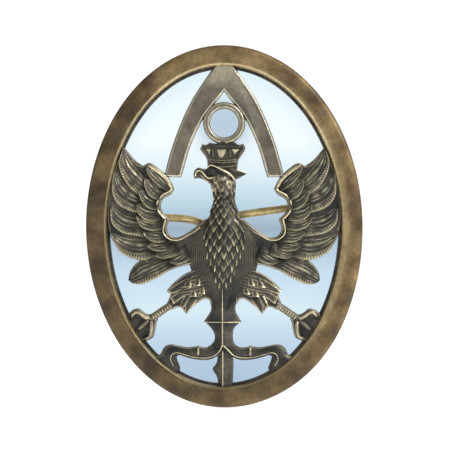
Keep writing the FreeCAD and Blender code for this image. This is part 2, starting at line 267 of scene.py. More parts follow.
# %% Vane
def add_vane(bm, edge_a, edge_b, relief, shine=None, back=FLANGE_FRONT + 0.15, cells=(24, 8)):
    """A closed strip between two edges. relief(u, v) is its front depth and shine(u, v) its
    wear, with u from 0 at the root to 1 at the tip, and v from -1 on edge_a to 1 on edge_b.
    Its walls and its root are darkened with dirt and painted shade."""
    line_a, line_b = spline(edge_a), spline(edge_b)
    wear, dirt_and_shade, along, across = layers(bm, "wear", "dirt_and_shade", "along", "across")
    flat = bmesh.ops.create_grid(bm, x_segments=cells[0], y_segments=cells[1], size=1.0)["verts"]
    for vert in flat:
        vert[along], vert[across] = (vert.co.x + 1) / 2, vert.co.y
    faces = once_each(face for vert in flat for face in vert.link_faces)
    grown = bmesh.ops.extrude_face_region(bm, geom=faces, use_keep_orig=True)["geom"]
    fresh = [g for g in grown if isinstance(g, bmesh.types.BMVert)]
    for group, draft in ((flat, DRAFT), (fresh, 0.0)):
        for vert in group:
            u, v = vert[along], vert[across]
            here, there = line_a(u), line_b(u)
            lean = min(draft / max((there - here).length, 0.3), 0.3)
            x, z = here.lerp(there, (v + 1) / 2 + lean * v)
            vert.co = (x, -back, z)
            # The walls and ends are darkened: dirt and painted shade.
            vert[dirt_and_shade] = 1.0 if abs(v) > 0.99 or abs(2 * u - 1) > 0.99 else 0.1
    for vert in fresh:
        u, v = vert[along], vert[across]
        vert.co.y = -relief(u, v)
        if shine:
            vert[wear] = min(max(shine(u, v), 0.0), 1.0)
        # Darker towards the root, where the vane goes under its neighbour: painted shade, with some dirt.
        vert[dirt_and_shade] = 1.0 - smooth_step(0.0, 0.3, u)


# %% Rod
def add_rod(bm, points, radius, taper=(1.0, 1.0), wear=0.8, crest=0.1, sides=3, round_ends=True):
    """A round wire along a smooth path of (x, depth, z) points. Only its front is worn, and a
    crest near 1 narrows the worn part to a line."""
    path = spline([(x, -depth, z) for x, depth, z in points])
    count = max(3, int(path.length / (radius * 1.2)))
    curve = bpy.data.curves.new("rod", "CURVE")
    curve.dimensions = "3D"
    curve.bevel_depth = radius
    curve.bevel_resolution = sides
    curve.use_fill_caps = True
    run = curve.splines.new("POLY")
    run.points.add(count)
    for k, point in enumerate(run.points):
        t = k / count
        point.co = (*path(t), 1.0)
        end = min(t, 1 - t) * path.length / radius
        rounding = math.sqrt(max(1 - (1 - min(end, 1.0)) ** 2, 0.06)) if round_ends else 1.0
        point.radius = (taper[0] + (taper[1] - taper[0]) * t) * rounding
    holder = bpy.data.objects.new("rod", curve)
    mesh = bpy.data.meshes.new_from_object(holder)
    before = len(bm.verts)
    bm.from_mesh(mesh)
    bm.verts.ensure_lookup_table()
    [worn] = layers(bm, "wear")
    bm.normal_update()
    for vert in bm.verts[before:]:
        vert[worn] = wear * smooth_step(crest, 0.8 + 0.2 * crest, -vert.normal.y)
    bpy.data.objects.remove(holder)
    bpy.data.curves.remove(curve)
    bpy.data.meshes.remove(mesh)


# %% [markdown]
# ## Finishes
# Old bronze is never one colour. Under a brown skin of oxide the metal is yellow, and it shows
# wherever fingers and cloth have rubbed: on bevels, quills and feather tips. The skin itself
# drifts between grey-brown, olive and a violet heat tint, and fine pits hold dust. So every
# piece gets the same layers, with different colours and amounts. Materials are wired up from
# nodes, so the first thing to make is a short way of adding one.

# %% Shader nodes
def feed(tree, node, inputs):
    """Give each named input of a node its value, or another node's output to follow."""
    for name, value in inputs.items():
        socket = node.inputs[name]
        if isinstance(value, bpy.types.NodeSocket):
            tree.links.new(value, socket)
        elif socket.type == "RGBA":
            socket.default_value = (*value, 1.0)
        else:
            socket.default_value = value


def add_node(tree, kind, inputs, **settings):
    """Add a shader node with its settings and inputs."""
    node = tree.nodes.new(f"ShaderNode{kind}")
    for name, value in settings.items():
        setattr(node, name, value)
    feed(tree, node, inputs)
    return node


def remap(tree, value, low, high, to_low=0.0, to_high=1.0, curve="LINEAR"):
    """Carry the range from low to high over to another range, and hold it there."""
    limits = {"From Min": low, "From Max": high, "To Min": to_low, "To Max": to_high}
    node = add_node(tree, "MapRange", {"Value": value, **limits}, interpolation_type=curve)
    return node.outputs["Result"]


def tint(tree, share, under, over):
    """Lay one colour over another. A share of 1 covers it fully."""
    node = add_node(tree, "Mix", {"Factor": share, "A": under, "B": over}, data_type="RGBA")
    return node.outputs["Result"]


def new_material(name):
    """A material, its node tree and its Principled shader."""
    material = bpy.data.materials.new(name)
    material.use_nodes = True
    return material, material.node_tree, material.node_tree.nodes["Principled BSDF"]


# %% Patinated bronze
OLIVE = (0.075, 0.085, 0.04)
VIOLET = (0.10, 0.065, 0.085)
SHADE_AND_DIRT = (0.014, 0.013, 0.011)
GRAIN_SCALE = 1500.0


def patinated_bronze(name, skin_dark, skin_light, bright, rub, cloud=170.0, pits=0.00002):
    """Brown oxide over yellow metal. rub is how far general handling has thinned the oxide,
    cloud how finely its colour drifts, and pits how deep its grain is, in metres."""
    finish, tree, shader = new_material(name)
    place = add_node(tree, "TexCoord", {}).outputs["Object"]

    def cloudiness(scale, detail, roughness=0.6, shift=0.0):
        moved = add_node(tree, "Mapping", {"Vector": place, "Location": (shift, shift, shift)})
        texture = add_node(tree, "TexNoise", {"Vector": moved.outputs["Vector"], "Scale": scale,
                                              "Detail": detail, "Roughness": roughness})
        return texture.outputs["Fac"]

    def maths(operation, a, b):
        node = add_node(tree, "Math", {0: a, 1: b}, operation=operation, use_clamp=True)
        return node.outputs["Value"]

    def stored(layer):
        return add_node(tree, "Attribute", {}, attribute_name=layer).outputs["Fac"]

    broad = cloudiness(cloud, 5.0)
    fine = cloudiness(GRAIN_SCALE, 8.0, 0.7)
    skin = tint(tree, remap(tree, broad, 0.35, 0.68), skin_dark, skin_light)
    olive = remap(tree, cloudiness(cloud * 1.3, 3.0, shift=0.5), 0.52, 0.72, 0.0, 0.45)
    skin = tint(tree, olive, skin, OLIVE)
    violet = remap(tree, cloudiness(cloud * 1.7, 3.0, shift=1.7), 0.56, 0.74, 0.0, 0.4)
    skin = tint(tree, violet, skin, VIOLET)
    worn = maths("MULTIPLY", stored("wear"), remap(tree, fine, 0.25, 0.62, 0.25, 1.1))
    handled = maths("MULTIPLY", remap(tree, broad, 0.45, 0.75),
                    remap(tree, fine, 0.4, 0.75, 0.0, rub))
    bare = maths("ADD", worn, handled)
    # Near-black laid over where the points are darkened: dirt, and painted shade in hollows and under edges.
    dirt_and_shade_cover = maths("MULTIPLY", stored("dirt_and_shade"), 0.75)
    bump = add_node(tree, "Bump", {"Strength": 0.6, "Distance": pits, "Height": fine})
    feed(tree, shader, {
        "Base Color": tint(tree, dirt_and_shade_cover, tint(tree, bare, skin, bright), SHADE_AND_DIRT),
        "Metallic": remap(tree, bare, 0.0, 1.0, 0.5, 0.95),
        "Roughness": remap(tree, bare, 0.0, 1.0, 0.5, 0.3),
        "Normal": bump.outputs["Normal"],
    })
    return finish


rim_bronze = patinated_bronze("rim_bronze", (0.080, 0.048, 0.021), (0.27, 0.178, 0.070),
                              (0.86, 0.71, 0.40), rub=0.3, cloud=210.0)
figure_bronze = patinated_bronze("figure_bronze", (0.019, 0.020, 0.020), (0.066, 0.060, 0.047),
                                 (0.93, 0.81, 0.52), rub=0.16, cloud=300.0)
arch_bronze = patinated_bronze("arch_bronze", (0.075, 0.066, 0.055), (0.17, 0.145, 0.105),
                               (0.80, 0.74, 0.54), rub=0.22, cloud=220.0)
prong_brass = patinated_bronze("prong_brass", (0.17, 0.105, 0.035), (0.52, 0.37, 0.12),
                               (0.95, 0.80, 0.42), rub=0.6, cloud=420.0, pits=0.000008)
tin_solder = patinated_bronze("tin_solder", (0.20, 0.195, 0.18), (0.34, 0.33, 0.31),
                              (0.60, 0.60, 0.58), rub=0.3, cloud=600.0, pits=0.00004)
print("finishes:", [m.name for m in (rim_bronze, figure_bronze, arch_bronze, prong_brass,
                                     tin_solder)])


# %% Finish a figure
def finish_figure(bm, name, node, stands_for=True):
    """Finish a piece of the eagle, or of what is struck with it."""
    finish_piece(bm, name, node, figure_bronze, stands_for=stands_for)

# %% [markdown]
# ## The rim
# A struck rim is a strip of sheet pressed to a shallow dome, with a bevel turned on its inner
# edge that polishes itself in use. Its section is drawn once, as (inset, depth) points, and
# carried round the oval: a circle of edges is extruded step by step, and each new loop is
# pushed to its own inset and depth. The face is then dented a little, because sheet that has
# been carried on a cap is not smooth.

# %% Rings with a section
SWELL_REACH = 3.0


def edges_within(verts):
    """The edges that have both ends among these points."""
    nearby = once_each(edge for vert in verts for edge in vert.link_edges)
    return [edge for edge in nearby if all(end in verts for end in edge.verts)]


def add_ring(bm, half_width, half_height, middle, section, segments=160, shine=(), polish=1.0,
             swell=None):
    """Carry a closed section of (inset, depth) points round an oval. The points in shine are
    worn. swell(angle) is how far the outer edge stands out beyond the oval; it dies away
    inwards."""
    [wear] = layers(bm, "wear")
    loop = bmesh.ops.create_circle(bm, segments=segments, radius=1.0)["verts"]
    angles = {vert: math.atan2(vert.co.y, vert.co.x) for vert in loop}
    first = dict(angles)

    def settle(ring, inset, depth, worn):
        for vert, angle in ring.items():
            out = swell(angle) * max(1.0 - inset / SWELL_REACH, 0.0) if swell else 0.0
            vert.co = (middle[0] + (half_width - inset + out) * math.cos(angle), -depth,
                       middle[1] + (half_height - inset + out) * math.sin(angle))
            vert[wear] = worn

    settle(angles, *section[0], 0.0)
    for inset, depth in section[1:]:
        grown = bmesh.ops.extrude_edge_only(bm, edges=edges_within(angles))["geom"]
        fresh = [g for g in grown if isinstance(g, bmesh.types.BMVert)]
        origin = {tuple(round(c, 6) for c in v.co): a for v, a in angles.items()}
        angles = {v: origin[tuple(round(c, 6) for c in v.co)] for v in fresh}
        settle(angles, inset, depth, polish if (inset, depth) in shine else 0.0)
    bmesh.ops.bridge_loops(bm, edges=edges_within(first) + edges_within(angles))


# %% Rim section
RIM_BEVEL = [(3.14, RIM_FRONT - 0.14), (3.28, RIM_FRONT - 0.32)]
RIM_SECTION = [
    (1.42, FLANGE_FRONT), (1.42, 0.04), (1.36, 0.0), (0.22, 0.0), (0.06, 0.06), (0.0, 0.2),
    (0.0, RIM_FRONT - 0.85), (0.05, RIM_FRONT - 0.55), (0.2, RIM_FRONT - 0.3),
    (0.45, RIM_FRONT - 0.13), (0.8, RIM_FRONT - 0.05), (1.3, RIM_FRONT - 0.02),
    (1.8, RIM_FRONT - 0.02), (2.3, RIM_FRONT - 0.03), (2.75, RIM_FRONT - 0.04),
    (3.04, RIM_FRONT - 0.07), *RIM_BEVEL,
    (3.42, RIM_FRONT - 0.52), (RIM_FACE, RIM_FRONT - 0.62), (RIM_FACE, FLANGE_FRONT),
]
print("points in the rim's section:", len(RIM_SECTION))

# %% [markdown]
# The strip was pressed a little off centre, so the rim is wider at the lower right. Its left
# and its foot are painted darker, as painted shade, and the right of its inner face is painted
# bright, as painted light laid on as rubbed metal. All of these are worked out from where a
# point lies.

# %% Rim
DENT_DEPTH = 0.03
DENT_SIZE = 2.5


def off_centre(angle):
    """How much wider the rim is at an angle."""
    return 0.45 * max(math.cos(angle - math.radians(316)), 0.0) ** 8


bm = start_piece()
add_ring(bm, HALF_WIDTH, HALF_HEIGHT, (0, 0), RIM_SECTION, segments=200, shine=RIM_BEVEL,
         polish=0.85, swell=off_centre)
for vert in bm.verts:
    if -vert.co.y > RIM_FRONT - 0.2:
        vert.co.y += DENT_DEPTH * noise.noise(vert.co / DENT_SIZE)
wear, dirt_and_shade = layers(bm, "wear", "dirt_and_shade")
for vert in bm.verts:
    x, depth, z = vert.co.x, -vert.co.y, vert.co.z
    # Painted shade: darker towards the left and towards the foot, over a little dirt everywhere.
    side_shade = 0.45 * smooth_step(4.0, -20.0, x) + 0.4 * smooth_step(-12.0, -28.0, z)
    vert[dirt_and_shade] = 0.12 + min(side_shade, 0.5) * smooth_step(29.0, 18.0, z)
    inner = smooth_step(0.915, 0.875, math.hypot(x / HALF_WIDTH, z / HALF_HEIGHT))
    # Painted light: the right of the inner face is made brighter, as rubbed metal.
    handled = 0.3 * inner * smooth_step(0.0, 14.0, x) * smooth_step(2.0, 2.25, depth)
    vert[wear] = max(vert[wear], handled)
finish_piece(bm, "rim_ring", "rim", rim_bronze)

# %% [markdown]
# The eagle and all that is struck with it hang in a thin flat ring, which sits in a rebate in
# the rim's back. From the front only its lip shows, as a dark line inside the rim.

# %% Backing ring
LIP = RIM_FACE + FLANGE_LIP
FLANGE_SECTION = [
    (1.48, 0.02), (1.48, FLANGE_FRONT - 0.02), (LIP - 0.12, FLANGE_FRONT), (LIP, 0.68),
    (LIP, 0.12), (LIP - 0.12, 0.0),
]
bm = start_piece()
add_ring(bm, HALF_WIDTH, HALF_HEIGHT, (0, 0), FLANGE_SECTION, segments=200)
finish_piece(bm, "backing_flange", "backing_ring", figure_bronze)

# %% [markdown]
# ## Arch and roundel
# Two bowed bars meet at the top of the oval and stand on the wings. They are cut from flat
# strip, so a plate with a bright filed edge is all they need. The roundel is a turned ring.

# %% Arch
ARCH = [
    [(-1.3, 26.7)],
    [(-5.3, 20.6), (-8.0, 14.4), (-9.8, 8.3)],
    [(-7.3, 8.3)],
    [(-5.8, 13.4), (-3.6, 18.0), (0.0, 22.6)],
    [(3.6, 18.0), (5.8, 13.4), (7.3, 8.3)],
    [(9.8, 8.3)],
    [(8.0, 14.4), (5.3, 20.6), (1.3, 26.7)],
]
bm = start_piece()
add_plate(bm, outline(ARCH), FLANGE_FRONT, 1.78, bevel=0.13, wear=0.7,
          rub=lambda x, z: 0.95 * smooth_step(24.3, 26.2, z), draft=0.24)
finish_piece(bm, "arch_bars", "arch_frame", arch_bronze)

# %% Roundel
ROUNDEL_MIDDLE = (0.0, 17.1)
ROUNDEL_RADIUS = 3.5
ROUNDEL_SHOULDERS = [(0.25, 1.58), (0.9, 1.58)]
ROUNDEL_SECTION = [
    (0.0, FLANGE_FRONT), (0.0, 1.3), (0.08, 1.48), ROUNDEL_SHOULDERS[0], (0.6, 1.66),
    ROUNDEL_SHOULDERS[1], (1.07, 1.48), (1.15, 1.3), (1.15, FLANGE_FRONT),
]
bm = start_piece()
add_ring(bm, ROUNDEL_RADIUS, ROUNDEL_RADIUS, ROUNDEL_MIDDLE, ROUNDEL_SECTION, segments=72,
         shine=ROUNDEL_SHOULDERS, polish=0.55)
finish_piece(bm, "roundel_ring", "roundel", arch_bronze)

# %% [markdown]
# ## Wings
# A wing is a thin plate with two kinds of feather on it. The flight feathers are long, each
# with a quill and slanting barbs, and each lower edge stands proud of the next feather's upper
# edge, like roof tiles. The coverts are short and pointed, in a row over the quills' roots.
# A bead line runs along the arm. Left and right share one set of points, mirrored.

# %% Feather
QUILL_AT = -0.1


def add_feather(bm, side, upper, lower, low, high, barbs=0.06, pitch=0.46, quill=0.08,
                edge_wear=0.9, veins=3.5, back=1.3, cells=(30, 8)):
    """A feather between its upper and lower edges, root first. low and high are the depths of
    the two edges, barbs the height of the slanting ribs, pitch their spacing, quill the height
    of the stem, and veins how many fine lines run lengthways between it and each edge."""
    length = spline(lower).length
    seed = lower[0][1] * 3.1

    def patchy(u, v):
        return 0.5 + 0.9 * noise.noise(Vector((u * length / 1.3, v * 1.7, seed)))

    def rib(u, v):
        return 0.5 + 0.5 * math.sin(2 * math.pi * (u * length - 0.7 * abs(v)) / pitch)

    def vein(u, v):
        bend = noise.noise(Vector((u * 3.0, v * 2.0, seed + 5.0)))
        wave = math.cos(2 * math.pi * (veins * (v - QUILL_AT) * (1 - 0.35 * u) + 0.35 * bend))
        inside = smooth_step(0.95, 0.55, abs(v)) * smooth_step(0.08, 0.25, u)
        return smooth_step(0.6, 1.0, wave) * inside * smooth_step(1.0, 0.8, u)

    def relief(u, v):
        tile = low + (high - low) * (v + 1) / 2
        crown = 0.07 * (1 - v * v)
        stem = quill * math.exp(-((v - QUILL_AT) / 0.13) ** 2) * (1 - u**3)
        ribs = barbs * rib(u, v) * smooth_step(0.3, 0.7, abs(v - QUILL_AT))
        return tile + crown + stem + ribs + 0.04 * vein(u, v)

    def shine(u, v):
        lip = edge_wear * smooth_step(0.78, 0.98, v) * (0.35 + 0.65 * rib(u, v))
        lip_above = 0.35 * smooth_step(-0.85, -0.98, v) * smooth_step(0.3, 0.7, u)
        stem = 0.75 * math.exp(-((v - QUILL_AT) / 0.09) ** 2)
        stem *= smooth_step(0.15, 0.4, u) * (1 - u**4)
        ribs = 0.9 * rib(u, v) ** 3 * smooth_step(0.4, 0.9, v)
        lines = 0.6 * vein(u, v)
        return max(lip, lip_above) + max(stem, ribs, lines) * patchy(u, v)

    add_vane(bm, flip(upper, side), flip(lower, side), relief, shine, back, cells)


# %% Wing plate
PLATE = [
    [(-15.4, 11.0), (-14.3, 10.1), (-13.5, 9.9)],
    [(-12.4, 10.4), (-11.2, 9.75), (-9.4, 8.1), (-8.4, 6.2)],
    [(-8.9, 5.4), (-10.2, 4.6), (-10.7, 3.4), (-10.2, 2.1), (-9.2, 1.1)],
    [(-9.65, -0.5), (-9.0, -1.7), (-7.6, -1.95), (-6.0, -1.2), (-4.4, 0.0), (-3.1, 1.1)],
    [(-2.0, -1.0)],
    [(-3.5, -6.2)],
    [(-6.0, -6.3), (-8.2, -6.9), (-10.0, -7.6)],
    [(-13.2, -5.7), (-16.0, -4.9), (-17.9, -3.2), (-18.9, -1.2)],
    [(-19.35, 1.5), (-19.0, 6.0), (-17.9, 10.2), (-16.9, 12.2)],
]
print("corners of the wing plate:", len(outline(PLATE)))

# %% [markdown]
# Five flight feathers fan out from the lowest, which hangs free, to the one at the wing's
# shoulder. Each is a pair of edges, upper then lower, from root to tip.

# %% Flight feathers
FLIGHT = [
    ([(-9.5, -4.6), (-12.0, -5.2), (-14.2, -6.0), (-15.5, -7.5), (-15.9, -8.9)],
     [(-7.8, -6.5), (-9.2, -7.3), (-11.2, -8.5), (-13.6, -9.5), (-15.2, -9.45), (-15.9, -8.9)]),
    ([(-12.0, -1.0), (-14.4, -1.1), (-16.6, -1.1), (-18.9, -0.9)],
     [(-11.2, -5.0), (-13.3, -5.6), (-15.6, -5.15), (-17.6, -3.8), (-18.9, -0.9)]),
    ([(-12.6, 2.4), (-14.6, 2.4), (-16.8, 2.8), (-18.8, 3.4)],
     [(-12.4, -1.8), (-14.9, -1.5), (-17.0, -1.0), (-18.6, 0.6), (-18.8, 3.4)]),
    ([(-12.8, 6.0), (-14.8, 7.2), (-16.8, 8.4), (-18.3, 9.2)],
     [(-12.6, 1.9), (-15.7, 2.6), (-17.6, 3.7), (-18.5, 5.6), (-18.3, 9.2)]),
    ([(-11.6, 7.6), (-13.2, 9.6), (-14.9, 10.9), (-16.7, 13.0)],
     [(-12.8, 4.9), (-15.2, 6.0), (-16.9, 8.4), (-17.4, 10.6), (-16.7, 13.0)]),
]
print("flight feathers:", len(FLIGHT))

# %% [markdown]
# The coverts follow the arm of the wing in one row, also from the lowest up.

# %% Coverts
COVERTS = [
    ([(-6.4, -3.0), (-7.4, -3.9), (-8.4, -4.8), (-9.2, -5.9)],
     [(-5.4, -5.4), (-6.6, -6.0), (-8.0, -6.3), (-9.2, -5.9)]),
    ([(-8.2, -2.6), (-9.4, -3.4), (-10.6, -4.1), (-11.7, -4.75)],
     [(-7.4, -4.5), (-8.8, -5.1), (-10.3, -5.35), (-11.7, -4.75)]),
    ([(-9.2, -1.9), (-10.6, -2.2), (-11.8, -2.6), (-12.95, -3.1)],
     [(-8.9, -3.9), (-10.4, -4.15), (-11.8, -3.95), (-12.95, -3.1)]),
    ([(-9.9, -0.6), (-11.2, -0.5), (-12.4, -0.6), (-13.55, -0.85)],
     [(-9.6, -2.6), (-11.0, -2.7), (-12.5, -2.2), (-13.55, -0.85)]),
    ([(-10.4, 1.6), (-11.8, 1.6), (-13.2, 1.7), (-14.55, 1.75)],
     [(-10.2, -0.6), (-12.2, -0.7), (-13.6, -0.2), (-14.3, 0.8), (-14.55, 1.75)]),
    ([(-10.9, 3.6), (-12.2, 3.6), (-13.4, 3.7), (-14.5, 3.85)],
     [(-10.6, 0.9), (-12.2, 0.8), (-13.5, 1.3), (-14.3, 2.4), (-14.5, 3.85)]),
    ([(-10.9, 5.1), (-12.0, 5.3), (-13.0, 5.8), (-13.9, 6.35)],
     [(-11.0, 2.6), (-12.4, 2.9), (-13.6, 4.1), (-14.1, 5.4), (-13.9, 6.35)]),
    ([(-9.9, 6.4), (-11.0, 7.0), (-12.0, 7.6), (-13.0, 8.1)],
     [(-10.8, 4.2), (-12.2, 4.9), (-13.0, 6.2), (-13.2, 7.3), (-13.0, 8.1)]),
    ([(-9.0, 7.0), (-10.2, 8.6), (-11.5, 9.7), (-12.7, 10.1)],
     [(-9.3, 5.8), (-10.8, 6.6), (-12.2, 8.0), (-12.8, 9.2), (-12.7, 10.1)]),
]
print("coverts:", len(COVERTS))

# %% [markdown]
# A bead runs down the arm's inner edge, round the bump at the notch and under the opening,
# where it sinks into the flank. A thick short rod under its top makes the knuckle of the wing.

# %% Bead lines
BEAD = [(-12.7, 10.15), (-11.5, 9.3), (-10.0, 8.1), (-9.15, 7.1), (-8.75, 6.15), (-9.3, 5.65),
        (-10.15, 5.2), (-10.85, 4.4), (-11.1, 3.6), (-10.95, 2.6), (-10.3, 1.7), (-9.65, 1.15)]
BEAD_LOWER = [(-9.65, 1.15), (-9.95, 0.3), (-10.1, -0.6), (-9.85, -1.45), (-9.2, -2.05),
              (-8.4, -2.3), (-7.3, -2.2), (-6.0, -1.5), (-4.9, -0.9), (-3.9, -0.1)]
KNUCKLE = [(-12.4, 10.05), (-11.4, 9.45), (-10.1, 8.4), (-9.1, 7.2), (-8.85, 6.3)]
SINKING_END = [1.9, 1.7, 1.2]
BEAD_DEPTH = 1.95
BEAD_RADIUS = 0.16
print("bead points:", len(BEAD) + len(BEAD_LOWER))

# %% Build both wings
def build_wing(side, label):
    """The plate, flight feathers, coverts and bead of one wing."""
    node = f"wing_{label}"
    bm = start_piece()
    add_plate(bm, outline(flip_runs(PLATE, side)), FLANGE_FRONT, 1.35, bevel=0.12, wear=0.35)
    finish_figure(bm, f"{node}_plate", node)
    bm = start_piece()
    for k, (upper, lower) in enumerate(FLIGHT):
        add_feather(bm, side, upper, lower, 1.2, 1.7, back=FLANGE_FRONT + 0.06 + 0.03 * k,
                    cells=(72, 32))
    finish_figure(bm, f"{node}_flight_feathers", node, stands_for=False)
    bm = start_piece()
    for upper, lower in COVERTS:
        add_feather(bm, side, upper, lower, 1.72, 2.2, barbs=0.02, pitch=0.4, quill=0.03,
                    edge_wear=1.0, veins=2.5, cells=(30, 24))
    finish_figure(bm, f"{node}_coverts", node, stands_for=False)
    bm = start_piece()
    add_rod(bm, [(x, BEAD_DEPTH, z) for x, z in flip(BEAD, side)], BEAD_RADIUS, wear=0.9)
    sinking = [BEAD_DEPTH] * (len(BEAD_LOWER) - len(SINKING_END)) + SINKING_END
    add_rod(bm, [(x, depth, z) for (x, z), depth in zip(flip(BEAD_LOWER, side), sinking)],
            BEAD_RADIUS, taper=(1.0, 0.5), wear=0.9)
    add_rod(bm, [(x, 1.8, z) for x, z in flip(KNUCKLE, side)], 0.42, taper=(0.6, 0.9), wear=0.6)
    finish_figure(bm, f"{node}_bead", node, stands_for=False)


build_wing(-1, "left")
build_wing(1, "right")

# %% [markdown]
# ## Breast, neck and head
# The breast is the highest part of the striking. It is lofted: half ovals at a few heights,
# joined smoothly. The same loft gives a point and a depth for any place on the breast, so each
# scale feather can be laid on it by its own small grid, tip outwards, as shingles are.

# %% The loft
STATIONS = [
    # height, centre, half width, depth in front of the flange
    (-11.0, -0.25, 0.7, 1.15), (-9.0, -0.2, 1.6, 2.0), (-6.0, -0.1, 2.8, 2.65),
    (-3.0, 0.0, 3.45, 2.85), (-0.6, 0.05, 3.45, 2.75), (1.6, 0.0, 2.45, 2.4),
    (4.0, 0.0, 1.72, 2.05), (6.0, -0.05, 1.95, 1.95), (7.6, -0.25, 2.3, 1.9),
    (9.0, -0.75, 1.9, 1.6), (10.0, -1.3, 1.0, 1.0),
]
SMOOTHING_SHIFTS = (-0.9, -0.45, 0.0, 0.45, 0.9)


def station(height):
    """Centre, half width and depth of the loft at any height."""
    for low, high in zip(STATIONS, STATIONS[1:]):
        if height <= high[0] or high is STATIONS[-1]:
            share = (height - low[0]) / (high[0] - low[0])
            share = min(max(share, 0.0), 1.0)
            return [a + (b - a) * share for a, b in zip(low[1:], high[1:])]
    return STATIONS[-1][1:]


def on_breast(across, height, lift=0.0):
    """A point on the breast: across runs from -1 at the left flank to 1 at the right. The
    stations near it are averaged, so that the skin has no creases."""
    samples = [station(height + shift) for shift in SMOOTHING_SHIFTS]
    centre, half, depth = (sum(s[k] for s in samples) / len(samples) for k in range(3))
    angle = across * math.pi / 2
    return Vector((centre + (half + lift) * math.sin(angle),
                   -(FLANGE_FRONT + (depth + lift) * math.cos(angle)), height))


def add_breast(bm):
    """The skin of the breast with its walls and back, streaked with wear on the neck."""
    skin = bmesh.ops.create_grid(bm, x_segments=40, y_segments=100, size=1.0)["verts"]
    low, high = STATIONS[0][0], STATIONS[-1][0]
    [wear] = layers(bm, "wear")
    for vert in skin:
        vert.co = on_breast(vert.co.x, low + (high - low) * (vert.co.y + 1) / 2)
        neck = smooth_step(4.0, 5.5, vert.co.z) * smooth_step(8.8, 7.8, vert.co.z)
        streak = Vector((vert.co.x * 4.5, 0.0, vert.co.z * 1.6))
        vert[wear] = max(neck * (0.12 + 1.1 * noise.noise(streak)), 0.0)
    border = [e for e in bm.edges if e.is_boundary]
    grown = bmesh.ops.extrude_edge_only(bm, edges=border)["geom"]
    back_edges = [g for g in grown if isinstance(g, bmesh.types.BMEdge) and g.is_boundary]
    for vert in once_each(v for e in back_edges for v in e.verts):
        vert.co.y = -FLANGE_FRONT - 0.1
        vert[wear] = 0.0
    bmesh.ops.contextual_create(bm, geom=back_edges)


bm = start_piece()
add_breast(bm)
finish_figure(bm, "breast", "eagle_body")

# %% [markdown]
# The scales lie in rows from the neck down, and each row is half a step aside from the last. A
# little drift, from smooth noise, keeps the rows from looking printed.

# %% Scale feathers
WIDEST = 0.4
ROOT_WIDTH = 0.7
SCALE_LIFT = 0.2


def add_scale(bm, across, height, width, length, polish):
    """One long pointed shingle, its root at the top and its tip pointing down."""
    wear, dirt_and_shade = layers(bm, "wear", "dirt_and_shade")
    half = station(height)[1]
    flat = bmesh.ops.create_grid(bm, x_segments=4, y_segments=5, size=1.0)["verts"]
    faces = once_each(face for vert in flat for face in vert.link_faces)
    grown = bmesh.ops.extrude_face_region(bm, geom=faces, use_keep_orig=True)["geom"]
    fresh = [g for g in grown if isinstance(g, bmesh.types.BMVert)]
    for vert in flat + fresh:
        side, down = vert.co.x, (1 - vert.co.y) / 2
        if down < WIDEST:
            taper = ROOT_WIDTH + (1 - ROOT_WIDTH) * down / WIDEST
        else:
            taper = 1.0 - ((down - WIDEST) / (1 - WIDEST)) ** 1.3
        x = across + side * taper * width / 2 / half
        rise = SCALE_LIFT * (0.1 + 0.9 * down) + 0.12 * (1 - abs(side)) if vert in fresh else -0.25
        vert.co = on_breast(x, height - down * length, rise)
        if vert in fresh:
            edge = smooth_step(0.3, 0.95, abs(side)) * smooth_step(0.4, 0.8, down)
            vert[wear] = polish * min(edge + smooth_step(0.75, 0.95, down), 1.0)
            # The root of each scale, under the row above, is darkened: painted shade.
            vert[dirt_and_shade] = smooth_step(0.7, 0.2, down) * (1 - 0.5 * abs(side))


def scale_width(height):
    """Scales are small on the neck, large on the breast and small again at its foot."""
    return 0.42 + 0.32 * smooth_step(5.0, 0.5, height) - 0.12 * smooth_step(-5.0, -8.5, height)


def add_scales(bm, top, foot):
    """Rows of scales from the top down to the foot. Returns how many rows there are."""
    row, height = 0, top
    while height > foot:
        half = station(height - 1.0)[1]
        width = scale_width(height)
        gap = width * 1.45
        columns = int(1.6 * half / gap) + 1
        for k in range(-columns, columns + 1):
            drift = noise.noise_vector(Vector((k * 1.7, row * 2.3, 0.4)))
            across = (k + (row % 2) / 2) * gap / half + 0.04 * drift.x
            if abs(across) + width / 2 / half < 0.95:
                polish = 0.8 + 0.8 * drift.z - 0.4 * smooth_step(0.5, 0.85, abs(across))
                add_scale(bm, across, height + 0.2 * drift.y, width, width * 3.1, polish)
        height -= gap * 1.02
        row += 1
    return row


bm = start_piece()
print("rows of scales:", add_scales(bm, 5.6, -8.8))
finish_figure(bm, "breast_scales", "eagle_body", stands_for=False)

# %% [markdown]
# The flanks and belly are one wide vane under the breast, between two edges that run from the
# neck down to the tail. Fine lines like combed hair are cut into it. Both flanks beside the
# breast are darkened with painted shade, the right one most.

# %% Flanks and belly
BELLY_LEFT = [(-1.7, 3.2), (-2.2, 1.9), (-3.1, 0.8), (-4.4, -0.5), (-5.4, -2.6), (-5.8, -5.2),
              (-5.2, -7.8), (-4.0, -9.7), (-2.9, -11.4), (-2.2, -12.6), (-2.0, -13.6)]
BELLY_RIGHT = [(-x - 0.2, z) for x, z in BELLY_LEFT[:-2]] + [(1.75, -12.6), (1.4, -13.6)]
HAIRS = 92.0


def hair(u, v):
    """The height of the combed lines, from 0 to 1."""
    return 0.5 + 0.5 * math.sin(v * HAIRS + 2.5 * noise.noise(Vector((v * 6, u * 5, 0))))


def belly_depth(u, v):
    """A low dome, highest under the breast, that flattens towards the tail."""
    swell = 0.45 * math.cos(v * math.pi / 2) ** 2 + 0.55 * (1 - v * v)
    dome = swell * (0.45 + 0.65 * smooth_step(0.0, 0.3, u)) * (1 - 0.45 * u)
    return 1.3 + 1.3 * dome + 0.045 * hair(u, v) * smooth_step(0.25, 0.5, abs(v))


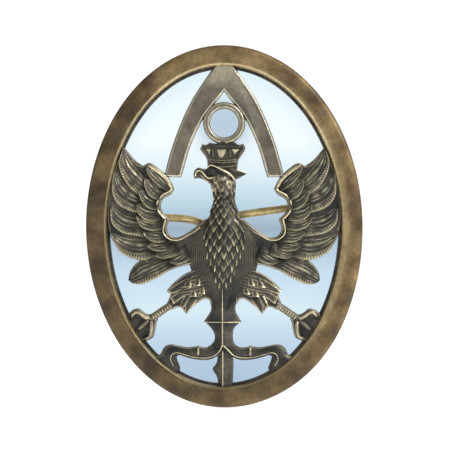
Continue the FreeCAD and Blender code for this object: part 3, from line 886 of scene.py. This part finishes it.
def belly_shine(u, v):
    """The tops of the lines are worn a little on the flanks."""
    return 0.16 * hair(u, v) ** 2 * smooth_step(0.3, 0.6, abs(v)) * smooth_step(0.85, 0.5, u)


bm = start_piece()
add_vane(bm, BELLY_LEFT, BELLY_RIGHT, belly_depth, belly_shine, FLANGE_FRONT + 0.05, (40, 150))
dirt_and_shade, across = layers(bm, "dirt_and_shade", "across")
# Painted shade on both flanks, beside the breast.
for vert in bm.verts:
    left_shade = 0.35 * smooth_step(0.3, 0.7, -vert[across])
    right_shade = 0.7 * smooth_step(0.2, 0.6, vert[across])
    vert[dirt_and_shade] = max(vert[dirt_and_shade], left_shade + right_shade)
finish_figure(bm, "belly", "eagle_body", stands_for=False)

# %% [markdown]
# The head looks to the viewer's left. It is small, so a few clear shapes have to carry it: a
# hooked beak, the bright line of the mouth, a brow ridge that runs back into the neck, and an
# eye sunk under the brow. Each is a vane, a rod or a ball let into the loft.

# %% Beak, mouth and brow
BEAK_TOP = [(-2.4, 9.7), (-3.0, 9.4), (-3.6, 9.5), (-4.2, 9.6), (-4.75, 9.25), (-4.98, 8.6),
            (-4.92, 7.85)]
BEAK_UNDER = [(-2.0, 6.9), (-2.5, 7.25), (-3.2, 7.7), (-3.8, 7.95), (-4.3, 8.05), (-4.6, 8.0),
              (-4.92, 7.85)]
UPPER_LIP = [(-4.75, 1.9, 8.15), (-4.7, 2.05, 8.75), (-4.3, 2.2, 9.18), (-3.8, 2.35, 9.05),
             (-3.3, 2.45, 8.5), (-2.8, 2.55, 8.05), (-2.3, 2.65, 7.9), (-1.8, 2.8, 8.15)]
LOWER_LIP = [(-4.0, 2.1, 8.5), (-3.5, 2.2, 8.15), (-3.0, 2.25, 7.6), (-2.5, 2.2, 7.05)]
BROW = [(-2.8, 2.1, 9.6), (-2.35, 2.45, 10.05), (-1.55, 2.65, 9.9), (-0.4, 2.85, 9.35),
        (0.7, 2.75, 8.75), (1.45, 2.35, 8.1), (1.75, 1.9, 7.55)]
bm = start_piece()
add_vane(bm, BEAK_TOP, BEAK_UNDER, lambda u, v: 1.4 + 0.85 * (1 - v * v) ** 0.7 * (1 - 0.4 * u),
         cells=(28, 12))
add_rod(bm, UPPER_LIP, 0.17, taper=(0.8, 0.8), wear=0.95)
add_rod(bm, LOWER_LIP, 0.1, wear=0.6)
add_rod(bm, BROW, 0.2, taper=(0.6, 1.0), wear=0.95)
print("head so far:", len(bm.verts), "points")

# %% Eye
EYE_PLACE = (-2.0, 9.1)
EYE_BALLS = [
    # radius, thickness, depth and darkening (dirt and painted shade) of the socket, then of the eye
    (0.85, 0.28, 2.3, 0.7),
    (0.34, 0.6, 2.5, 0.2),
]
[dirt_and_shade] = layers(bm, "dirt_and_shade")
for radius, thickness, depth, dirt_and_shade_amount in EYE_BALLS:
    ball = bmesh.ops.create_uvsphere(bm, u_segments=20, v_segments=12, radius=radius)["verts"]
    bmesh.ops.scale(bm, verts=ball, vec=(1.0, thickness, 0.85))
    bmesh.ops.translate(bm, verts=ball, vec=(EYE_PLACE[0], -depth, EYE_PLACE[1]))
    for vert in ball:
        vert[dirt_and_shade] = dirt_and_shade_amount
print("eye balls:", len(EYE_BALLS))

# %% Crest
CREST = [
    ([(0.6, 9.75), (1.9, 9.35), (3.0, 9.1), (3.75, 8.75)],
     [(0.8, 8.6), (1.9, 8.5), (3.0, 8.45), (3.75, 8.75)]),
    ([(0.8, 8.9), (1.8, 8.7), (3.3, 8.45)], [(1.2, 7.7), (2.1, 7.95), (3.3, 8.45)]),
]
for k, (top, under) in enumerate(CREST):
    add_vane(bm, top, under, lambda u, v: 1.6 + 0.4 * (1 - v * v),
             lambda u, v: 0.9 * smooth_step(-0.5, -0.95, v),
             back=FLANGE_FRONT + 0.17 + 0.04 * k, cells=(12, 8))
finish_figure(bm, "head_details", "eagle_body", stands_for=False)

# %% [markdown]
# The crown is a dark plate that flares to a scalloped top. On it lie a flat top band, four ribs
# with three light fields between them, and three thin bands round its foot.

# %% Crown outline and fields
CROWN = [
    [(-2.55, 9.1)],
    [(-2.65, 10.2), (-2.7, 11.0), (-3.1, 11.8), (-3.9, 12.8)],
    [(-3.6, 13.55)],
    [(-2.9, 13.4), (-2.3, 13.8)],
    [(-1.3, 13.6), (-0.25, 14.1), (0.8, 13.6)],
    [(1.8, 13.8), (2.5, 13.4)],
    [(3.15, 13.55)],
    [(3.35, 12.8), (2.75, 11.8), (2.25, 11.0), (2.1, 10.2)],
    [(2.05, 9.1)],
]
FLEURONS = [
    ([(-3.15, 12.75), (-2.75, 12.3), (-2.45, 11.75)], [(-2.2, 12.8), (-2.3, 12.3), (-2.4, 11.75)]),
    ([(-1.2, 12.75), (-1.0, 12.0), (-0.75, 11.3)], [(0.3, 12.75), (0.1, 12.0), (-0.35, 11.3)]),
    ([(1.25, 12.8), (1.5, 12.3), (1.7, 11.75)], [(2.65, 12.75), (2.1, 12.3), (1.75, 11.75)]),
]
RIBS = [(-1.75, -2.0), (0.95, 0.95), (-2.6, -3.5), (2.15, 3.0)]
BANDS = [(9.9, 2.2), (10.6, 2.3), (10.95, 2.3)]
CROWN_MIDDLE = -0.3
print("crown: fields", len(FLEURONS), "ribs", len(RIBS), "bands", len(BANDS))

# %% Crown
bm = start_piece()
add_plate(bm, outline(CROWN), FLANGE_FRONT + 0.12, 1.7, bevel=0.12, wear=0.12)
add_rod(bm, [(-3.5, 1.6, 13.1), (-0.25, 1.75, 13.3), (3.0, 1.6, 13.1)], 0.32, wear=0.0)
for foot, top in RIBS:
    add_rod(bm, [(foot, 1.65, 11.1), ((foot + top) / 2, 1.75, 12.0), (top, 1.7, 12.9)], 0.22,
            wear=0.05)
for left, right in FLEURONS:
    add_vane(bm, left, right, lambda u, v: 1.75 + 0.2 * (1 - v * v) * (1 - 0.5 * u),
             lambda u, v: 0.8 - 0.5 * u, cells=(8, 8))
for level, half in BANDS:
    bow = [(-half, 1.65, 0.1), (-1.1, 1.85, -0.03), (0.0, 1.9, -0.08), (1.1, 1.85, -0.03),
           (half, 1.65, 0.1)]
    add_rod(bm, [(CROWN_MIDDLE + x, depth, level + rise) for x, depth, rise in bow], 0.13,
            wear=0.2)
finish_figure(bm, "crown_piece", "crown")

# %% [markdown]
# ## Legs
# The thigh is covered with short wedge-shaped tufts, each with a bright outline. Below it the
# shank is a rod with rings, as a bird's scaly leg has, and the toes close on the rim.

# %% Leg outlines
THIGH = [
    [(-2.4, -6.8)],
    [(-5.9, -7.75), (-8.1, -9.3), (-9.4, -10.7)],
    [(-8.9, -11.4), (-9.05, -12.1), (-9.45, -12.95)],
    [(-8.7, -13.75)],
    [(-7.7, -13.3), (-7.0, -13.5), (-6.3, -14.45)],
    [(-5.5, -13.5), (-4.4, -12.6), (-3.3, -11.95), (-2.5, -12.1), (-2.0, -12.9)],
    [(-1.7, -9.8)],
]
FOOT = [
    [(-11.6, -14.6)],
    [(-12.6, -14.75), (-13.4, -14.35), (-14.1, -13.8), (-15.0, -13.95), (-15.9, -14.7)],
    [(-16.1, -15.2)],
    [(-13.9, -18.9)],
    [(-12.8, -18.85)],
    [(-11.9, -18.4), (-11.6, -17.4), (-11.35, -16.0)],
    [(-11.1, -15.5)],
]
print("corners of thigh and foot:", len(outline(THIGH)), len(outline(FOOT)))

# %% Tufts, shank and toes
THIGH_TOP = [(-3.4, -7.2), (-5.2, -7.7), (-6.6, -8.4), (-8.2, -9.6), (-9.4, -10.7)]
THIGH_UNDER = [(-2.2, -11.2), (-3.8, -12.1), (-5.6, -12.4), (-7.6, -12.2), (-9.4, -10.7)]
TUFTS = [
    ([(-5.7, -8.3), (-6.2, -9.2), (-6.8, -10.2)], [(-5.5, -8.3), (-5.5, -9.2), (-5.45, -10.1)]),
    ([(-4.3, -8.2), (-4.7, -9.0), (-5.1, -9.9)], [(-4.1, -8.2), (-4.0, -9.0), (-4.0, -9.8)]),
    ([(-5.1, -9.9), (-5.4, -10.8), (-5.8, -11.7)], [(-5.0, -9.9), (-4.8, -10.8), (-4.6, -11.6)]),
    ([(-3.5, -9.5), (-3.9, -10.4), (-4.3, -11.3)], [(-3.4, -9.5), (-3.3, -10.4), (-3.2, -11.2)]),
    ([(-6.2, -8.6), (-7.9, -9.6), (-9.4, -10.75)], [(-6.0, -9.9), (-7.6, -10.8), (-9.0, -11.3)]),
    ([(-6.4, -10.2), (-7.7, -11.0), (-8.9, -11.8)], [(-5.9, -11.2), (-7.2, -12.0), (-8.4, -12.9)]),
    ([(-6.3, -11.2), (-6.9, -12.2), (-7.4, -13.4)], [(-5.6, -11.4), (-6.0, -12.4), (-6.9, -13.6)]),
    ([(-5.8, -11.6), (-6.5, -12.9), (-6.3, -14.45)], [(-4.2, -11.9), (-5.2, -13.2), (-6.3, -14.45)]),
]
SHANK = [(-8.6, 1.6, -12.9), (-10.4, 1.6, -14.1), (-12.3, 1.6, -15.4)]
TOES = [
    [(-11.9, 1.6, -15.2), (-13.0, 1.8, -15.1), (-13.8, 1.9, -14.5), (-14.5, 1.9, -14.15),
     (-15.1, 1.8, -14.6), (-15.5, 1.4, -15.4)],
    [(-12.1, 1.6, -15.4), (-12.0, 1.8, -16.5), (-12.1, 1.9, -17.5), (-12.3, 1.9, -18.3),
     (-12.9, 1.8, -18.6), (-13.4, 1.4, -18.3)],
    [(-12.3, 1.6, -15.4), (-13.2, 1.9, -16.2), (-14.0, 1.9, -16.9), (-14.7, 1.5, -17.2)],
]
TOE_WEAR = (0.55, 0.55, 0.2)
SHANK_RADIUS = 0.6
SHANK_RINGS = 8
print("tufts:", len(TUFTS), "toes:", len(TOES))

# %% [markdown]
# Tufts, shank and toes are laid on two plates. The rings of the shank are short bent rods that
# cross its front, set out evenly along it. The third toe lies between the other two, where
# less rubs against it, so it is worn less than they are.

# %% Shank
def add_shank(bm, side):
    """A round shank with rings across its front."""
    add_rod(bm, flip_path(SHANK, side), SHANK_RADIUS, wear=0.15, sides=5, round_ends=False)
    start, end = Vector(SHANK[0]), Vector(SHANK[-1])
    along = (end - start).normalized()
    wide = Vector((-along.z, 0, along.x)) * 0.62
    for k in range(1, SHANK_RINGS + 1):
        x, _, z = start.lerp(end, k / (SHANK_RINGS + 1.5))
        ring = [(x - wide.x, 1.55, z - wide.z), (x, 2.28, z), (x + wide.x, 1.55, z + wide.z)]
        add_rod(bm, flip_path(ring, side), 0.12, wear=0.75, sides=2)


# %% Build both legs
def tuft_wear(u, v):
    """A tuft is worn along its two edges and at its tip."""
    return 0.65 * max(smooth_step(0.6, 0.95, abs(v)), smooth_step(0.85, 1.0, u))


def build_leg(side, label):
    """Thigh, tufts, ringed shank and toes of one leg."""
    node = f"leg_{label}"
    bm = start_piece()
    add_plate(bm, outline(flip_runs(THIGH, side)), FLANGE_FRONT + 0.03, 1.45, bevel=0.15, wear=0.4)
    add_plate(bm, outline(flip_runs(FOOT, side)), FLANGE_FRONT, 1.35, bevel=0.15, wear=0.3)
    add_vane(bm, flip(THIGH_TOP, side), flip(THIGH_UNDER, side),
             lambda u, v: 1.2 + 0.5 * (1 - v * v) + 0.06 * math.sin(v * 26 + u * 5),
             lambda u, v: 0.3 * smooth_step(0.3, 1.0, math.sin(v * 26 + u * 5)), cells=(24, 48))
    for left, right in TUFTS:
        add_vane(bm, flip(left, side), flip(right, side),
                 lambda u, v: 1.4 + 0.45 * u + 0.14 * (1 - v * v), tuft_wear, cells=(12, 8))
    add_shank(bm, side)
    for toe, wear in zip(TOES, TOE_WEAR):
        add_rod(bm, flip_path(toe, side), 0.42, taper=(1.2, 0.8), wear=wear, crest=0.75, sides=6)
    finish_figure(bm, f"{node}_piece", node)


build_leg(-1, "left")
build_leg(1, "right")

# %% [markdown]
# ## Tail and scroll
# The tail is a ridged shaft: two slopes that meet in a bright line. At the scroll the ridge
# divides and runs out along the arms. Both are vanes with a tent-shaped section.

# %% Ridged shafts
def add_ridged(bm, left, right, ridge, edge, peak, back, cells=(24, 8)):
    """A shaft in two slopes that meet in a worn ridge line. edge and peak are their depths, and
    the slopes' flat backs are a step apart, so that they don't lie in one plane."""
    for side_line, step in ((left, 0.0), (right, 0.05)):
        add_vane(bm, side_line, ridge,
                 lambda u, v: edge + (peak - edge) * ((v + 1) / 2) ** 0.9,
                 lambda u, v: 0.12 * smooth_step(-0.85, -1.0, v), back + step, cells)
    add_rod(bm, [(x, peak - 0.03, z) for x, z in ridge], 0.11, wear=0.7)


# %% Tail
TAIL_CROSS = [(-3.2, 1.35, -15.87), (-0.3, 2.0, -15.9), (2.7, 1.35, -15.92)]
TAIL_ROOT = [(-0.3, 2.2, -10.4), (-0.3, 2.22, -11.8), (-0.3, 2.12, -13.6), (-0.3, 1.95, -14.6)]
bm = start_piece()
add_ridged(bm, [(-1.5, -9.5), (-1.9, -12.2), (-2.1, -14.0), (-3.25, -15.85)],
           [(1.3, -9.5), (1.9, -12.2), (1.75, -14.0), (2.75, -15.9)],
           [(-0.3, -9.8), (-0.3, -12.0), (-0.3, -14.0), (-0.3, -15.9)],
           edge=1.3, peak=2.05, back=FLANGE_FRONT - 0.04)
add_ridged(bm, [(-3.1, -15.8), (-2.0, -17.0), (-1.45, -18.1), (-1.6, -19.1), (-2.7, -20.25)],
           [(2.6, -15.8), (1.5, -17.0), (1.3, -18.1), (1.4, -19.1), (2.2, -20.25)],
           [(-0.3, -15.9), (-0.3, -17.0), (-0.3, -18.0), (-0.3, -20.1)],
           edge=1.1, peak=1.9, back=FLANGE_FRONT + 0.1)
add_rod(bm, TAIL_ROOT, 0.12, taper=(0.4, 1.0), wear=0.7)
add_rod(bm, TAIL_CROSS, 0.1, wear=0.7)
finish_figure(bm, "tail_piece", "tail")

# %% [markdown]
# The scroll's arms leave a hub at the tail's foot, sag, rise and end in hooks. A bright ridge
# forks from the tail and follows each arm, and a clasp crosses it. A short ridged shaft goes on
# down to the rim. The flat backs of the arms are a little apart in depth, because two faces in
# one plane show as black patches where they overlap.

# %% Scroll lines
ARM_TOP = [(-0.1, -19.4), (-1.7, -19.9), (-3.0, -20.25), (-4.5, -20.1), (-6.0, -20.2),
           (-7.5, -19.95), (-8.6, -19.75), (-9.5, -19.9), (-10.1, -20.5), (-10.4, -21.2),
           (-11.2, -21.7)]
ARM_UNDER = [(-0.1, -21.2), (-1.2, -21.5), (-2.2, -21.95), (-3.4, -22.1), (-5.0, -21.95),
             (-6.5, -21.6), (-7.5, -21.3), (-7.9, -21.5), (-7.75, -22.4), (-7.4, -23.5),
             (-7.9, -24.5)]
FORK = (-0.3, 1.95, -19.6)
ARM_LINE = [(-0.75, 1.85, -20.6), (-1.6, 1.75, -21.4), (-3.2, 1.7, -21.8), (-5.0, 1.7, -21.65),
            (-6.6, 1.7, -21.25), (-7.8, 1.7, -20.95), (-8.6, 1.7, -21.2), (-8.9, 1.7, -22.0),
            (-8.6, 1.65, -22.8), (-8.2, 1.5, -23.5)]
HUB = [[(-2.6, -19.9)], [(2.2, -19.9)], [(1.2, -21.5)], [(-1.0, -21.5)]]
CLASP = [(-4.3, 1.3, -19.75), (-4.3, 1.85, -20.6), (-4.35, 1.7, -21.5)]
print("points along an arm's ridge:", len(ARM_LINE) + 1)

# %% Scroll
bm = start_piece()
add_plate(bm, outline(HUB), FLANGE_FRONT + 0.08, 1.5, bevel=0.1, wear=0.0)
for side in (-1, 1):
    add_vane(bm, flip(ARM_TOP, side), flip(ARM_UNDER, side),
             lambda u, v: 1.2 + 0.5 * (1 - v * v) ** 0.6,
             lambda u, v: 0.3 * smooth_step(-0.75, -0.95, v),
             back=FLANGE_FRONT + 0.12 + 0.01 * side, cells=(60, 10))
    add_rod(bm, [FORK] + flip_path(ARM_LINE, side), 0.11, taper=(1.0, 0.6), wear=0.75)
    add_rod(bm, flip_path(CLASP, side), 0.24, wear=0.4)
add_ridged(bm, [(-0.9, -20.6), (-1.0, -22.0), (-1.2, -22.8), (-1.8, -23.7), (-1.1, -24.9),
                (-0.8, -26.6)],
           [(0.9, -20.6), (1.35, -22.0), (1.4, -23.2), (1.35, -24.4), (1.3, -25.4),
            (1.25, -26.6)],
           [(-0.25, -20.6), (-0.25, -22.5), (-0.25, -24.5), (-0.25, -26.6)],
           edge=1.15, peak=1.6, back=FLANGE_FRONT + 0.16)
finish_figure(bm, "scroll_piece", "scroll")

# %% [markdown]
# ## Prongs
# Each prong is one length of soft brass wire: it stands out of a bead of solder on the eagle's
# back and turns outwards behind the wing. To wear the badge, the wire is straightened, pushed
# through the cloth and bent flat again. The bend is where the joint is, so the wire is one mesh
# blended between the two bodies: it bends there and stays whole.

# %% Wires
WIRE_RADIUS = 0.65
PRONGS = [
    # body, node, joint, and the (x, z) points where the wire turns straight and where it ends
    (LEFT_PRONG, "prong_left", "left_prong_fold", (-4.7, 1.05), (-16.4, 1.95)),
    (RIGHT_PRONG, "prong_right", "right_prong_fold", (2.8, 1.93), (16.4, 3.8)),
]


def turn_of(name):
    """Where a joint's axis is, in millimetres."""
    joint = next(j for j in frame["joints"] if j["name"] == name)
    return Vector(joint["pos_m"]) / MM


def wire_path(knee, elbow, tip):
    """Out of the badge, round the knee and away behind the wing, as (x, depth, z) points."""
    back = -knee.y
    start, elbow, tip = Vector((knee.x, knee.z)), Vector(elbow), Vector(tip)
    first = elbow - start
    bend = [(knee.x, 0.75, knee.z), (knee.x, -0.2, knee.z), (knee.x, back + 0.55, knee.z),
            (knee.x + first.x * 0.12, back + 0.08, knee.z + first.y * 0.12),
            (knee.x + first.x * 0.4, back, knee.z + first.y * 0.4)]
    straight = [start.lerp(elbow, 0.72), elbow.lerp(tip, 0.11), elbow.lerp(tip, 0.4),
                elbow.lerp(tip, 0.7), tip]
    return bend + [(x, back, z) for x, z in straight]


def build_prong(body, node, joint, elbow, tip):
    """One wire, blended between the badge and its own body over the knee."""
    knee = turn_of(joint)
    bm = start_piece()
    add_rod(bm, wire_path(knee, elbow, tip), WIRE_RADIUS, wear=0.4, sides=6)
    [dirt_and_shade] = layers(bm, "dirt_and_shade")
    # The underside of the wire is darkened: painted shade.
    for vert in bm.verts:
        vert[dirt_and_shade] = 0.7 * smooth_step(0.3, 1.0, -vert.normal.z)
    wire = finish_piece(bm, f"{node}_wire", node, prong_brass, body=None)
    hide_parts("prong_roots")
    aside = Vector((elbow[0] - knee.x, 0.0, elbow[1] - knee.z))
    bend_from = knee - 0.06 * aside - Vector((0, 0.85, 0))
    bend_to = knee + 0.32 * aside - Vector((0, 0.1, 0))
    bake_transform(wire, BADGE, body, start=bend_from * MM, end=bend_to * MM)
    print(node, "knee at", [round(c, 2) for c in knee])


for prong in PRONGS:
    build_prong(*prong)

# %% Solder
SOLDER_RADIUS = 1.15
SOLDER_DEPTH = 0.85
bm = start_piece()
for _, _, joint, _, _ in PRONGS:
    knee = turn_of(joint)
    pool = bmesh.ops.create_uvsphere(bm, u_segments=24, v_segments=14, radius=SOLDER_RADIUS)["verts"]
    bmesh.ops.scale(bm, verts=pool, vec=(1.0, 0.55, 0.95))
    bmesh.ops.translate(bm, verts=pool, vec=(knee.x, -SOLDER_DEPTH, knee.z))
finish_piece(bm, "solder_pools", "solder_beads", tin_solder)

# %% [markdown]
# ## Studio
# A white floor, a white surround, a large soft light from the upper right and a weaker one from
# the left. Bronze shows what it reflects, so the surround is kept darker on the viewer's side:
# flat faces then look brown, and only the edges that tilt to the lights shine.

# %% Floor
FLOOR_RADIUS = 0.5
FLOOR_DROP = 0.0002


def studio_object(bm, name, material):
    """Make an object, in metres, that isn't part of the badge."""
    mesh = bpy.data.meshes.new(name)
    bm.to_mesh(mesh)
    bm.free()
    mesh.materials.append(material)
    made = bpy.data.objects.new(name, mesh)
    bpy.context.scene.collection.objects.link(made)
    return made


paper, paper_tree, paper_shader = new_material("white_paper")
feed(paper_tree, paper_shader, {"Base Color": (0.9, 0.9, 0.9), "Roughness": 0.9,
                                "Emission Color": (1, 1, 1), "Emission Strength": 0.75})
bm = bmesh.new()
bmesh.ops.create_circle(bm, cap_ends=True, segments=96, radius=FLOOR_RADIUS)
bmesh.ops.translate(bm, verts=bm.verts, vec=(0, 0, cad_low.z - FLOOR_DROP))
floor = studio_object(bm, "floor", paper)
print(f"floor at {1000 * floor.data.vertices[0].co.z:.1f} mm")

# %% [markdown]
# ## Card
# Behind the openings hangs a card in pale blues. A real card would take the badge's shadow and
# throw its own light back on the bronze, so this one only shows its colour: it is a painted glow
# that the other rays pass by. Its colours are painted shade and light: it fades down its height
# through a few lighter and darker tones, is painted darker near the rim and round the roundel,
# where the badge would shade it, and is clear from behind, so that the badge's back is seen.

# %% Card paint
# Lighter and darker tones down the card's height: painted shade and light.
CARD_SHADE_TONES = [(0.0, (0.37, 0.50, 0.66)), (0.12, (0.52, 0.66, 0.80)), (0.24, (0.70, 0.85, 0.93)),
              (0.36, (0.58, 0.74, 0.87)), (0.49, (0.36, 0.46, 0.56)), (0.56, (0.50, 0.66, 0.76)),
              (0.66, (0.74, 0.88, 0.95)), (0.77, (0.93, 1.0, 1.02)), (1.0, (0.82, 0.95, 1.0))]
CARD_REACH = 0.027
EDGE_SHADE = (0.55, 0.72, 0.85)
ROUNDEL_SHADE = (0.36, 0.50, 0.64)

card_shade_paint, card_tree, plain_shader = new_material("pale_blue_card_painted_shade")
card_tree.nodes.remove(plain_shader)
place = add_node(card_tree, "TexCoord", {}).outputs["Object"]
height = add_node(card_tree, "SeparateXYZ", {"Vector": place}).outputs["Z"]
share_of_height = remap(card_tree, height, -CARD_REACH, CARD_REACH)
tones = add_node(card_tree, "ValToRGB", {"Fac": share_of_height})
for spot, _ in CARD_SHADE_TONES[1:-1]:
    tones.color_ramp.elements.new(spot)
for stop, (spot, tone) in zip(tones.color_ramp.elements, CARD_SHADE_TONES):
    stop.position = spot
    stop.color = (*tone, 1)
oval = add_node(card_tree, "Mapping", {"Vector": place, "Scale": (1 / 0.0195, 0.0, 1 / 0.0266)})
from_middle = add_node(card_tree, "VectorMath", {0: oval.outputs["Vector"]}, operation="LENGTH")
# Darker near the rim: painted shade.
edge = remap(card_tree, from_middle.outputs["Value"], 0.85, 1.0, 0.0, 0.25, "SMOOTHSTEP")
roundel_place = (0.0, cad_high.y, ROUNDEL_MIDDLE[1] * MM)
from_roundel = add_node(card_tree, "VectorMath", {0: place, 1: roundel_place}, operation="DISTANCE")
# Darker round the roundel: painted shade.
near = remap(card_tree, from_roundel.outputs["Value"], 0.0075, 0.0015, 0.0, 0.75, "SMOOTHSTEP")
shaded = tint(card_tree, edge, tones.outputs["Color"], EDGE_SHADE)
# The card glows with its painted colours instead of being lit.
shade_painted_glow = add_node(card_tree, "Emission", {"Color": tint(card_tree, near, shaded, ROUNDEL_SHADE)})
clear = add_node(card_tree, "BsdfTransparent", {})
behind = add_node(card_tree, "NewGeometry", {}).outputs["Backfacing"]
front_or_back = add_node(card_tree, "MixShader", {
    "Fac": behind, 1: shade_painted_glow.outputs["Emission"], 2: clear.outputs["BSDF"]})
feed(card_tree, card_tree.nodes["Material Output"], {"Surface": front_or_back.outputs["Shader"]})
print("card tones:", len(CARD_SHADE_TONES))

# %% Card
CARD_TURN = math.radians(-1.2)
CARD_INSET = 2.4
CARD_GAP = 0.0005
bm = bmesh.new()
bmesh.ops.create_circle(bm, cap_ends=True, segments=128, radius=1.0)
card_size = ((HALF_WIDTH - CARD_INSET) * MM, (HALF_HEIGHT - CARD_INSET) * MM, 1)
bmesh.ops.scale(bm, verts=bm.verts, vec=card_size)
for angle, axis in ((math.pi / 2, "X"), (CARD_TURN, "Z")):
    bmesh.ops.rotate(bm, verts=bm.verts, cent=(0, 0, 0), matrix=Matrix.Rotation(angle, 3, axis))
bmesh.ops.translate(bm, verts=bm.verts, vec=(0, cad_high.y + CARD_GAP, 0))
card = studio_object(bm, "card", card_shade_paint)
card.visible_shadow = False
card.visible_diffuse = False
card.visible_glossy = False
print("card faces", [round(c) for c in card.data.polygons[0].normal])

# %% [markdown]
# ## Surround, lights and camera
# The surround has two faces. The camera sees plain white, and everything else is lit by a grey
# that fades towards the viewer and towards the left.

# %% Surround
world = bpy.data.worlds.new("surround")
bpy.context.scene.world = world
world.use_nodes = True
world_tree = world.node_tree
world_tree.nodes.clear()
direction = add_node(world_tree, "TexCoord", {}).outputs["Generated"]
split = add_node(world_tree, "SeparateXYZ", {"Vector": direction})
towards_back = remap(world_tree, split.outputs["Y"], -1.0, 0.3, 0.2, 1.0)
towards_right = remap(world_tree, split.outputs["X"], -0.8, 0.6, 0.55, 1.1)
grey = add_node(world_tree, "Math", {0: towards_back, 1: towards_right}, operation="MULTIPLY")
lit = add_node(world_tree, "Background", {"Color": grey.outputs["Value"], "Strength": 0.55})
seen = add_node(world_tree, "Background", {"Color": (1, 1, 1), "Strength": 1.15})
is_camera = add_node(world_tree, "LightPath", {}).outputs["Is Camera Ray"]
choose = add_node(world_tree, "MixShader", {
    "Fac": is_camera, 1: lit.outputs["Background"], 2: seen.outputs["Background"]})
add_node(world_tree, "OutputWorld", {"Surface": choose.outputs["Shader"]})
print("surround nodes:", len(world_tree.nodes))


# %% Lights
def add_light(name, place, size, watts):
    """A round soft light at a place, facing the middle of the badge."""
    lamp = bpy.data.lights.new(name, "AREA")
    lamp.shape = "DISK"
    lamp.size = size
    lamp.energy = watts
    holder = bpy.data.objects.new(name, lamp)
    holder.location = place
    holder.rotation_mode = "QUATERNION"
    holder.rotation_quaternion = Vector(place).to_track_quat("Z", "Y")
    bpy.context.scene.collection.objects.link(holder)
    print(f"{name} light: {watts} W")


add_light("key", (0.22, -0.2, 0.2), 0.12, 0.95)
add_light("fill", (-0.24, -0.16, 0.14), 0.2, 0.14)
add_light("back", (0.1, 0.3, 0.2), 0.2, 0.5)

# %% Camera
FRAME_WIDTH = 0.07428
camera_data = bpy.data.cameras.new("camera")
camera_data.lens = 120
camera_data.clip_start = 0.01
camera = bpy.data.objects.new("camera", camera_data)
distance = FRAME_WIDTH * camera_data.lens / camera_data.sensor_width
camera.location = (0.00013, -RIM_FRONT * MM - distance, 0.0002)
camera.rotation_euler = (math.radians(90), 0, 0)
bpy.context.scene.collection.objects.link(camera)
bpy.context.scene.camera = camera
bpy.context.scene.view_settings.view_transform = "Standard"
print(f"camera {distance:.3f} m in front of the rim")
